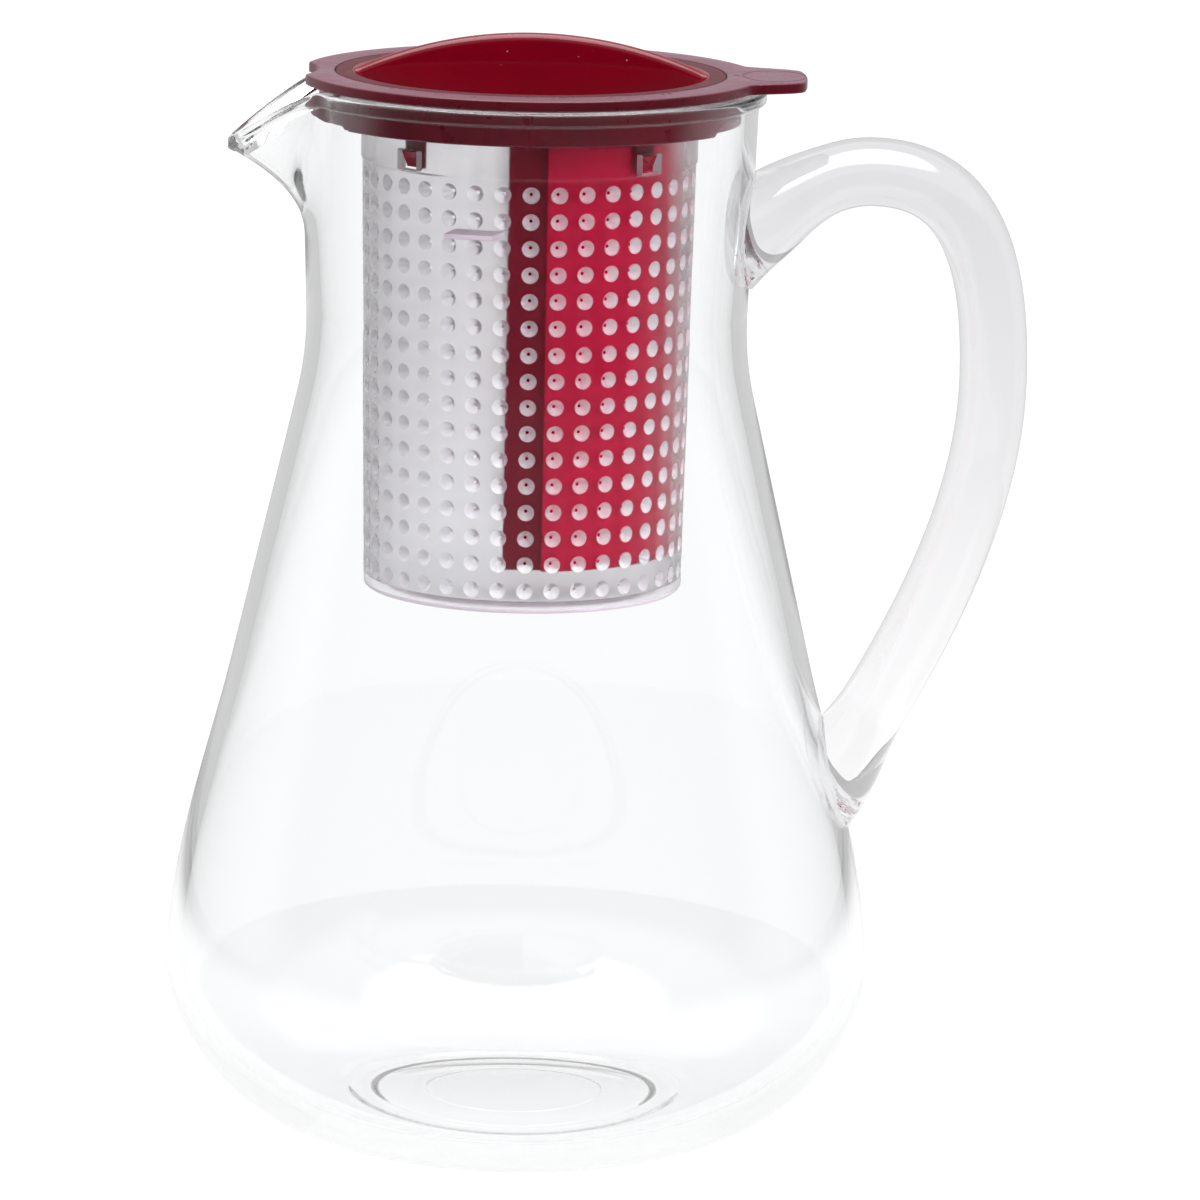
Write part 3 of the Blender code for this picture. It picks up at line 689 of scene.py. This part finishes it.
arch_radius = (fin_half_length**2 + fin_height**2) / (2 * fin_height)
fin_sides = 32
fin_stations = 96
fin = unit_rod(fin_sides, fin_stations)
for vertex in fin.data.vertices:
    along = fin_half_length * (2 * round(vertex.co.z) / fin_stations - 1)
    crest = lid_top + fin_height - fin_sink - arch_radius + math.sqrt(arch_radius**2 - along**2)
    foot = dish_height(min(abs(along), dish_radius)) - dish_wall / 2
    edge = min(fin_edge, (crest - foot) * fin_edge_share)
    if vertex.co.y > -WELD:
        height = crest - edge + edge * vertex.co.y
    else:
        height = foot
    vertex.co = (along, -vertex.co.x * fin_thickness / 2, height)
face_outwards()
carve(dial, fin, "UNION")
on_axis(dial)
dial.data.materials.append(solid_plastic(
    "glossy_red_plastic", (0.2, 0.0, 0.011), (0.18, 0.0, 0.01),
    roughness=(0.05, 0.09), grain=1800, depth=0.003 * MM, specular=0.25, dust=loose_dust,
))
# Painted shade: the rim's upward faces get a darker, duller copy of the dial's red.
dial.data.materials.append(solid_plastic(
    "shaded_satin_rim_plastic", (0.05, 0.0005, 0.006), (0.044, 0.0005, 0.005),
    roughness=(0.4, 0.48), grain=lid_grain, depth=0.01 * MM, specular=0.15, dust=loose_dust,
))
for face in dial.data.polygons:
    radius = math.hypot(face.center.x - axis_x, face.center.y)
    if radius > dish_radius and face.normal.z > 0.7:
        face.material_index = 1
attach(dial, "dial")
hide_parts("dial")


# Shutters
# Two half-round red walls inside the basket, moulded thin: the inner one hangs from the dial by a collar,
# and the outer one is held by the lid ring. Turning the dial brings them from one side to both.

shutter_wall = 1.2 * MM
shutter_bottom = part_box("turning_shutter")[0].z
shutter_edge = 0.3 * MM
turning_span = math.radians(196)
fixed_span = math.radians(166)
turning_collar = 4.0 * MM
cut_margin = 2.0 * MM
opening_sides = 96
moulded = {"roughness": (0.16, 0.26), "grain": 900, "depth": 0.01 * MM, "specular": 0.12}
fixed_finish = solid_plastic(
    "red_shutter_plastic", (0.56, 0.002, 0.046), (0.51, 0.002, 0.042), **moulded
)
# Painted shade: the turning wall is a darker copy of the fixed wall's red, for the shade on the inner wall.
shaded_turning_finish = solid_plastic(
    "shaded_red_shutter_plastic", (0.22, 0.002, 0.02), (0.2, 0.002, 0.018), **moulded
)


def shutter(name, finish, outer_radius, top, span, collar_height):
    """A thin tube, cut down to part of a circle below its collar; the opening faces the spout."""
    inner_radius = outer_radius - shutter_wall
    middle_radius = outer_radius - shutter_wall / 2
    shell = turned(name, rounded([
        (middle_radius, shutter_bottom, 0),
        (outer_radius, shutter_bottom, shutter_edge),
        (outer_radius, top, shutter_edge),
        (inner_radius, top, shutter_edge),
        (inner_radius, shutter_bottom, shutter_edge),
        (middle_radius, shutter_bottom, 0),
    ]))
    cut_top = top - collar_height if collar_height else top + cut_margin
    cut_height = cut_top - shutter_bottom + cut_margin
    cut_radius = 2 * outer_radius
    cut_place = (0, 0, cut_top - cut_height)
    bpy.ops.object.select_all(action="DESELECT")
    bpy.ops.mesh.primitive_circle_add(vertices=opening_sides, radius=cut_radius, location=cut_place)
    bpy.ops.object.transform_apply(location=True)
    opening = bpy.context.object
    half_open = math.pi - span / 2
    for vertex in opening.data.vertices:
        angle = math.atan2(vertex.co.y, vertex.co.x)
        from_spout = math.remainder(angle - math.pi, math.tau)
        if abs(from_spout) > half_open:
            edge_angle = math.pi + math.copysign(half_open, from_spout)
            share = ease(half_open, math.pi, abs(from_spout))
            reach = cut_radius * (1 - share)
            vertex.co.x = reach * math.cos(edge_angle)
            vertex.co.y = reach * math.sin(edge_angle)
    bpy.ops.object.mode_set(mode="EDIT")
    bpy.ops.mesh.select_all(action="SELECT")
    bpy.ops.mesh.remove_doubles(threshold=WELD)
    bpy.ops.mesh.edge_face_add()
    bpy.ops.mesh.extrude_region_move(TRANSFORM_OT_translate={"value": (0, 0, cut_height)})
    bpy.ops.mesh.select_all(action="SELECT")
    bpy.ops.mesh.normals_make_consistent(inside=False)
    bpy.ops.object.mode_set(mode="OBJECT")
    carve(shell, opening)
    on_axis(shell)
    shell.data.materials.append(finish)
    return shell


turning_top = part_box("turning_shutter")[1].z
turning_shutter = shutter(
    "turning_wall", shaded_turning_finish, collar_outer, turning_top, turning_span, turning_collar
)
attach(turning_shutter, "dial")
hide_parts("turning_shutter")
fixed_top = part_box("fixed_shutter")[1].z
fixed_shutter = shutter(
    "fixed_wall", fixed_finish, web_bore_radius + shutter_wall, fixed_top, fixed_span, collar_height=0
)
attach(fixed_shutter, "lid")
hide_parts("fixed_shutter")


# Filter basket
# A clear moulded cup with rows of conical holes, wide outside and fine inside, under a plain band.
# It is polished outside and frosted inside, and hangs from the lid's straps by four windows in its band.
# Its ledge and its bottom edge are coloured lilac, a painted reflection of the red lid.

basket_low, basket_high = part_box("filter_basket")
columns = 38
rows = 16
row_pitch = 5.48 * MM
first_row = 204.5 * MM
column_turn = math.radians(5.6)
basket_top_radius = 34.6 * MM
basket_bottom_radius = 33.2 * MM
basket_wall = 2.0 * MM
band_radius = 34.9 * MM
band_step = 0.5 * MM
band_top = basket_high.z
basket_bottom = basket_low.z
basket_floor = 2.4 * MM
basket_corner = 1.0 * MM
hole_radius = 1.7 * MM
hole_inner_radius = 0.36 * MM
hole_sides = 16
floor_edge_lift = 0.6 * MM
floor_ease = 0.1 * MM
band_ease = 0.1 * MM
basket_rim_edge = 0.3 * MM
basket_rim_flat = 0.4 * MM
cells_top = first_row + row_pitch / 2
cells_bottom = cells_top - rows * row_pitch


def wall_radius(height):
    """Outer radius of the basket's wall, which tapers downwards."""
    share = (height - basket_bottom) / (cells_top - basket_bottom)
    return basket_bottom_radius + (basket_top_radius - basket_bottom_radius) * share


cell_breadth = math.tau * (basket_top_radius + basket_bottom_radius) / 2 / columns
bpy.ops.object.select_all(action="DESELECT")
bpy.ops.mesh.primitive_circle_add(vertices=hole_sides, radius=hole_radius, rotation=(math.pi / 2, 0, 0))
bpy.ops.object.transform_apply(location=False, rotation=True, scale=False)
basket = bpy.context.object
basket.name = "perforated_basket"


def pull_loop(wanted, depth, place):
    """Extrudes the open edges whose points are wanted, to another depth, and places the new points."""
    mesh = basket.data
    faces_on = {}
    for face in mesh.polygons:
        face.select = False
        for key in face.edge_keys:
            faces_on[key] = faces_on.get(key, 0) + 1
    for vertex in mesh.vertices:
        vertex.select = False
    for edge in mesh.edges:
        inside = all(wanted(mesh.vertices[index].co) for index in edge.vertices)
        edge.select = inside and faces_on.get(edge.key, 0) < 2
    bpy.ops.object.mode_set(mode="EDIT")
    bpy.ops.mesh.select_mode(type="EDGE")
    bpy.ops.mesh.extrude_edges_move(TRANSFORM_OT_translate={"value": (0, depth, 0)})
    bpy.ops.object.mode_set(mode="OBJECT")
    for vertex in mesh.vertices:
        if vertex.select:
            vertex.co.x, vertex.co.z = place(vertex.co.x, vertex.co.z)


def on_outer_hole(point):
    return math.hypot(point.x, point.z) < hole_radius + WELD and point.y < WELD


def on_inner_hole(point):
    return point.y > basket_wall - WELD


def to_fine_hole(across, up):
    return across * hole_inner_radius / hole_radius, up * hole_inner_radius / hole_radius


def to_cell_edge(across, up):
    largest = max(abs(across), abs(up))
    return across / largest * cell_breadth / 2, up / largest * row_pitch / 2


pull_loop(on_outer_hole, 0, to_cell_edge)
pull_loop(on_outer_hole, basket_wall, to_fine_hole)
pull_loop(on_inner_hole, 0, to_cell_edge)
for count, direction in ((columns, (cell_breadth, 0, 0)), (rows, (0, 0, row_pitch))):
    repeat = basket.modifiers.new("repeat", "ARRAY")
    repeat.count = count
    repeat.use_relative_offset = False
    repeat.use_constant_offset = True
    repeat.constant_offset_displace = direction
    repeat.use_merge_vertices = True
    repeat.merge_threshold = WELD
    bpy.ops.object.modifier_apply(modifier=repeat.name)
for vertex in basket.data.vertices:
    angle = column_turn + vertex.co.x / cell_breadth * math.tau / columns
    height = cells_bottom + row_pitch / 2 + vertex.co.z
    radius = wall_radius(height) - vertex.co.y
    if height < cells_bottom + WELD:
        height += floor_edge_lift
    vertex.co = (radius * math.cos(angle), radius * math.sin(angle), height)
bpy.ops.object.mode_set(mode="EDIT")
bpy.ops.mesh.select_all(action="SELECT")
bpy.ops.mesh.remove_doubles(threshold=WELD)
bpy.ops.mesh.select_mode(type="EDGE")


def grow_edge(radius_test, height_test, outline):
    """Extrudes one open edge loop of the basket through (radius, height) points."""
    mesh = basket.data
    bpy.ops.mesh.select_all(action="DESELECT")
    bpy.ops.mesh.select_non_manifold(extend=False, use_wire=False, use_boundary=True,
                                     use_multi_face=False, use_non_contiguous=False, use_verts=False)
    bpy.ops.object.mode_set(mode="OBJECT")
    for edge in mesh.edges:
        ends = [mesh.vertices[index].co for index in edge.vertices]
        kept = all(radius_test(math.hypot(end.x, end.y), end.z) and height_test(end.z) for end in ends)
        edge.select = edge.select and kept
    for vertex in mesh.vertices:
        vertex.select = False
    loop = [mesh.vertices[edge.vertices[0]].co for edge in mesh.edges if edge.select]
    radius = sum(math.hypot(*point.xy) for point in loop) / len(loop)
    height = sum(point.z for point in loop) / len(loop)
    bpy.ops.object.mode_set(mode="EDIT")
    for next_radius, next_height in outline:
        bpy.ops.mesh.extrude_edges_move(TRANSFORM_OT_translate={"value": (0, 0, next_height - height)})
        factor = next_radius / radius
        bpy.ops.transform.resize(value=(factor, factor, 1), center_override=(0, 0, 0))
        radius, height = next_radius, next_height


def outer_side(radius, height):
    return radius > wall_radius(height) - basket_wall / 2


def inner_side(radius, height):
    return not outer_side(radius, height)


def upper_end(height):
    return height > (cells_top + cells_bottom) / 2


def lower_end(height):
    return not upper_end(height)


pole_radius = 0.02 * MM
inner_top_radius = basket_top_radius - basket_wall
inner_bottom_radius = wall_radius(cells_bottom) - basket_wall
rim_meeting = (band_radius - basket_rim_flat, band_top, 0)
band_start = cells_top + band_ease
grow_edge(outer_side, upper_end, rounded([
    (basket_top_radius, cells_top, 0),
    (basket_top_radius, band_start, band_ease),
    (band_radius, band_start + band_step, band_ease),
    (band_radius, band_top, basket_rim_edge),
    rim_meeting,
])[1:])
grow_edge(inner_side, upper_end, rounded([
    (inner_top_radius, cells_top, 0),
    (inner_top_radius, band_top, basket_rim_edge),
    rim_meeting,
])[1:])
grow_edge(inner_side, lower_end, [
    (inner_bottom_radius - floor_ease, basket_bottom + basket_floor),
    (pole_radius, basket_bottom + basket_floor),
])
grow_edge(outer_side, lower_end, rounded([
    (wall_radius(cells_bottom), cells_bottom, 0),
    (basket_bottom_radius, basket_bottom, basket_corner),
    (pole_radius, basket_bottom, 0),
], steps=6)[1:])
bpy.ops.mesh.select_all(action="SELECT")
bpy.ops.mesh.remove_doubles(threshold=2 * pole_radius)
bpy.ops.mesh.normals_make_consistent(inside=False)
bpy.ops.object.mode_set(mode="OBJECT")

window_bottom = 207.9 * MM
window_top = 212.0 * MM
window_width = 5.5 * MM
window_size = (4 * basket_wall, window_width, window_top - window_bottom)
window_place = (basket_top_radius - basket_wall / 2, 0, (window_top + window_bottom) / 2)
for angle in hook_angles:
    window = block(window_size, window_place, edge=0)
    turn_about_axis(window, angle)
    carve(basket, window)
ledge_reach = 41.6 * MM
ledge_root = basket_top_radius - basket_wall / 2
ledge_width = 10.3 * MM
ledge_thickness = 1.1 * MM
ledge_height = 196.55 * MM
ledge_edge = 0.25 * MM
ledge_angle = math.radians(270 - 16.5)
ledge_size = (ledge_reach - ledge_root, ledge_width, ledge_thickness)
ledge = block(ledge_size, ((ledge_reach + ledge_root) / 2, 0, ledge_height), ledge_edge)
turn_about_axis(ledge, ledge_angle)
carve(basket, ledge, "UNION")
on_axis(basket, smooth_angle=25)

basket_tint = (0.996, 0.989, 1)
basket_refraction = 1.4
basket_polish = (0.02, 0.06)
basket_wave = 0.03 * MM


def frosted_plastic(name, tint, clearness, grain, detail, roughness):
    """Clear plastic with a fine rough face, which scatters what shows through it."""
    finish, shader, tree = new_finish(name)
    shader.inputs["Base Color"].default_value = (*tint, 1)
    shader.inputs["Transmission Weight"].default_value = clearness
    shader.inputs["IOR"].default_value = basket_refraction
    tree.links.new(spread(tree, noise(tree, grain, detail), *roughness), shader.inputs["Roughness"])
    return finish


inner_face = {"grain": 700, "detail": 4, "roughness": (0.28, 0.34)}
cut_face = {"grain": 900, "detail": 3, "roughness": (0.29, 0.4)}
basket_finishes = [
    clear_plastic("clear_basket_plastic", basket_tint, basket_polish, basket_wave, basket_refraction),
    frosted_plastic("frosted_basket_plastic", basket_tint, clearness=1, **inner_face),
    frosted_plastic("frosted_hole_plastic", (0.97, 0.945, 0.985), clearness=0.62, **cut_face),
    # Painted reflection: a lilac colour for the ledge and the bottom edge, for the red of the lid seen in
    # them.
    frosted_plastic("painted_reflection_edge_plastic", (0.82, 0.7, 0.8), clearness=0.35, **cut_face),
]
for finish in basket_finishes:
    basket.data.materials.append(finish)
polished, frosted, in_hole, painted_reflection = range(len(basket_finishes))
ledge_clearance = 0.3 * MM
for face in basket.data.polygons:
    outward = Vector((face.center.x - axis_x, face.center.y, 0))
    height = face.center.z
    facing = face.normal.dot(outward.normalized())
    depth = wall_radius(height) - outward.length
    on_inner_wall = facing < -0.7 and depth > basket_wall * 0.8
    on_hole_cone = 0.4 < facing < 0.7 and 0.2 < depth / basket_wall < 0.8
    on_bottom_corner = height < basket_bottom + basket_corner and -0.95 < face.normal.z < -0.05
    on_ledge = depth < -ledge_clearance and height < cells_top - row_pitch
    on_window_side = abs(facing) < 0.35 and window_bottom - WELD < height < window_top + WELD
    if on_inner_wall:
        face.material_index = frosted
    elif on_hole_cone:
        face.material_index = in_hole
    # The bottom corner and the ledge get the painted reflection of the red lid.
    elif on_bottom_corner or on_ledge:
        face.material_index = painted_reflection
    elif on_window_side:
        face.material_index = in_hole
    else:
        face.material_index = polished
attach(basket, "basket")
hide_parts("filter_basket")


# Studio
# A plain pale floor and backdrop with soft lamps, and the camera at the photograph's angle.
# None of it belongs to the pitcher.

white_room = bpy.data.worlds.new("white_room")
bpy.context.scene.world = white_room
white_room.use_nodes = True


def ramp(tree, value, start, end, low, high):
    """Smooth step from low to high as the value goes from start to end."""
    step = tree.nodes.new("ShaderNodeMapRange")
    step.interpolation_type = "SMOOTHSTEP"
    step.inputs["From Min"].default_value = start
    step.inputs["From Max"].default_value = end
    step.inputs["To Min"].default_value = low
    step.inputs["To Max"].default_value = high
    tree.links.new(value, step.inputs["Value"])
    return step.outputs["Result"]


def backdrop(tree, strength):
    """White light from the room, of a fixed strength or of one that a node gives."""
    light = tree.nodes.new("ShaderNodeBackground")
    light.inputs["Color"].default_value = (1, 1, 1, 1)
    if isinstance(strength, float):
        light.inputs["Strength"].default_value = strength
    else:
        tree.links.new(strength, light.inputs["Strength"])
    return light.outputs["Background"]


def either(tree, share, first, second):
    """The first surface or light where the share is 0, the second where it is 1."""
    mix = tree.nodes.new("ShaderNodeMixShader")
    tree.links.new(share, mix.inputs["Fac"])
    tree.links.new(first, mix.inputs[1])
    tree.links.new(second, mix.inputs[2])
    return mix.outputs["Shader"]


def seen(tree, rays):
    """1 for what the camera sees, straight, through clear walls or mirrored."""
    looking = combined(tree, "MAXIMUM", rays.outputs["Is Camera Ray"], rays.outputs["Is Transmission Ray"])
    return combined(tree, "MAXIMUM", looking, rays.outputs["Is Glossy Ray"])


tree = white_room.node_tree
rays = tree.nodes.new("ShaderNodeLightPath")
direction = tree.nodes.new("ShaderNodeTexCoord")
split = tree.nodes.new("ShaderNodeSeparateXYZ")
tree.links.new(direction.outputs["Generated"], split.inputs["Vector"])
sideways = split.outputs["X"]
away = split.outputs["Y"]
upward = split.outputs["Z"]
unseen_strength = 0.75
twice_mirrored_strength = 0.95
# The room is white to the eye and through clear walls. Mirrored once, it is dim on the camera's side, which
# keeps glare off the basket and gives clear walls their grey edges. Lamps don't reach through clear walls,
# so light that has bounced off a piece behind one comes from a brighter room.
straight = ramp(tree, upward, start=0.3, end=0.8, low=1.1, high=0.6)
within = ramp(tree, upward, start=-0.4, end=0.6, low=1.35, high=4.8)
within = combined(tree, "MULTIPLY", within, ramp(tree, sideways, start=-0.6, end=0.6, low=0.5, high=1.4))
behind = ramp(tree, away, start=-0.25, end=0.2, low=0.04, high=1.0)
dimmed = ramp(tree, upward, start=-0.5, end=-0.2, low=1.0, high=0.55)
overhead = ramp(tree, upward, start=0.3, end=0.55, low=0.0, high=1.0)
zenith = ramp(tree, upward, start=0.82, end=0.92, low=1.0, high=9.0)
front = ramp(tree, upward, start=-0.2, end=0.3, low=0.0, high=0.12)
mirrored = combined(tree, "MAXIMUM", combined(tree, "MULTIPLY", behind, dimmed),
                    combined(tree, "MULTIPLY", overhead, zenith))
mirrored = combined(tree, "MAXIMUM", mirrored, front)
twice_mirrored = combined(tree, "SUBTRACT", rays.outputs["Glossy Depth"], 1.0)
seen_room = either(tree, rays.outputs["Glossy Depth"], backdrop(tree, straight), backdrop(tree, mirrored))
seen_room = either(tree, twice_mirrored, seen_room, backdrop(tree, twice_mirrored_strength))
seen_room = either(tree, rays.outputs["Diffuse Depth"], seen_room, backdrop(tree, within))
room = either(tree, seen(tree, rays), backdrop(tree, unseen_strength), seen_room)
tree.links.new(room, tree.nodes["World Output"].inputs["Surface"])

studio_floor_radius = 0.45
studio_floor_sides = 96
studio_floor_height = -0.2 * MM
fade_start = 0.25
faded_strength = 0.2
floor_paleness = 0.9
floor_glow = 1.06
bpy.ops.object.select_all(action="DESELECT")
bpy.ops.mesh.primitive_circle_add(
    vertices=studio_floor_sides, radius=studio_floor_radius, fill_type="NGON",
    location=(0, 0, studio_floor_height),
)
bpy.ops.object.transform_apply(location=True)
floor = bpy.context.object
floor.name = "studio_floor"
floor_finish, shader, tree = new_finish("pale_floor")
shader.inputs["Base Color"].default_value = (0.9, 0.9, 0.9, 1)
shader.inputs["Roughness"].default_value = 0.9
shader.inputs["Specular IOR Level"].default_value = 0
glow = tree.nodes.new("ShaderNodeEmission")
glow.inputs["Color"].default_value = (1, 1, 1, 1)
rays = tree.nodes.new("ShaderNodeLightPath")
spot = tree.nodes.new("ShaderNodeTexCoord")
reach = tree.nodes.new("ShaderNodeVectorMath")
reach.operation = "LENGTH"
tree.links.new(spot.outputs["Object"], reach.inputs[0])
faded = ramp(tree, reach.outputs["Value"], fade_start, studio_floor_radius, 1.0, faded_strength)
once_mirrored = combined(tree, "MINIMUM", rays.outputs["Glossy Depth"], 1.0)
unmirrored = combined(tree, "SUBTRACT", 1.0, once_mirrored)
unmirrored = combined(tree, "MULTIPLY", unmirrored, floor_glow)
tree.links.new(combined(tree, "MAXIMUM", faded, unmirrored), glow.inputs["Strength"])
paleness = combined(tree, "MULTIPLY", seen(tree, rays), floor_paleness)
lit = either(tree, paleness, shader.outputs["BSDF"], glow.outputs["Emission"])
tree.links.new(lit, tree.nodes["Material Output"].inputs["Surface"])
floor.data.materials.append(floor_finish)


def soft_lamp(name, place, target, size, power):
    """A softbox that faces a point; it lights the pieces, and doesn't show in them."""
    bpy.ops.object.light_add(type="AREA", location=place)
    lamp = bpy.context.object
    lamp.name = name
    lamp.data.shape = "RECTANGLE"
    lamp.data.size, lamp.data.size_y = size
    lamp.data.energy = power
    lamp.rotation_euler = (Vector(target) - Vector(place)).to_track_quat("-Z", "Y").to_euler()
    lamp.visible_glossy = False
    lamp.visible_transmission = False


soft_lamp("top_softbox", (0, 0.25, 1.3), target=(0, 0, 0.2), size=(0.9, 0.7), power=9)
soft_lamp("left_softbox", (-1.2, -0.5, 0.7), target=(0, 0, 0.15), size=(0.5, 0.9), power=6)
soft_lamp("right_softbox", (1.1, -0.6, 0.6), target=(0, 0, 0.15), size=(0.5, 0.9), power=6)

camera_distance = 1422.9 * MM
camera_height = 404.6 * MM
camera_pitch = math.radians(11.54)
camera_yaw = math.radians(0.66)
camera_roll = math.radians(1.12)
focal_pixels = 6918.6
image_pixels = 1200
sensor_width = 36
nearest_seen = 0.05
light_bounces = 96
bpy.ops.object.camera_add(location=(axis_x, -camera_distance, camera_height))
camera = bpy.context.object
camera.data.sensor_width = sensor_width
camera.data.lens = focal_pixels / image_pixels * sensor_width
camera.data.clip_start = nearest_seen
forward = Vector((
    math.sin(camera_yaw) * math.cos(camera_pitch),
    math.cos(camera_yaw) * math.cos(camera_pitch),
    -math.sin(camera_pitch),
))
upright = forward.to_track_quat("-Z", "Y")
camera.rotation_euler = (upright @ Quaternion((0, 0, 1), camera_roll)).to_euler()
bpy.context.scene.camera = camera
bpy.context.scene.view_settings.view_transform = "Standard"
bpy.context.scene.cycles.max_bounces = light_bounces
bpy.context.scene.cycles.transmission_bounces = light_bounces
bpy.context.scene.cycles.glossy_bounces = light_bounces
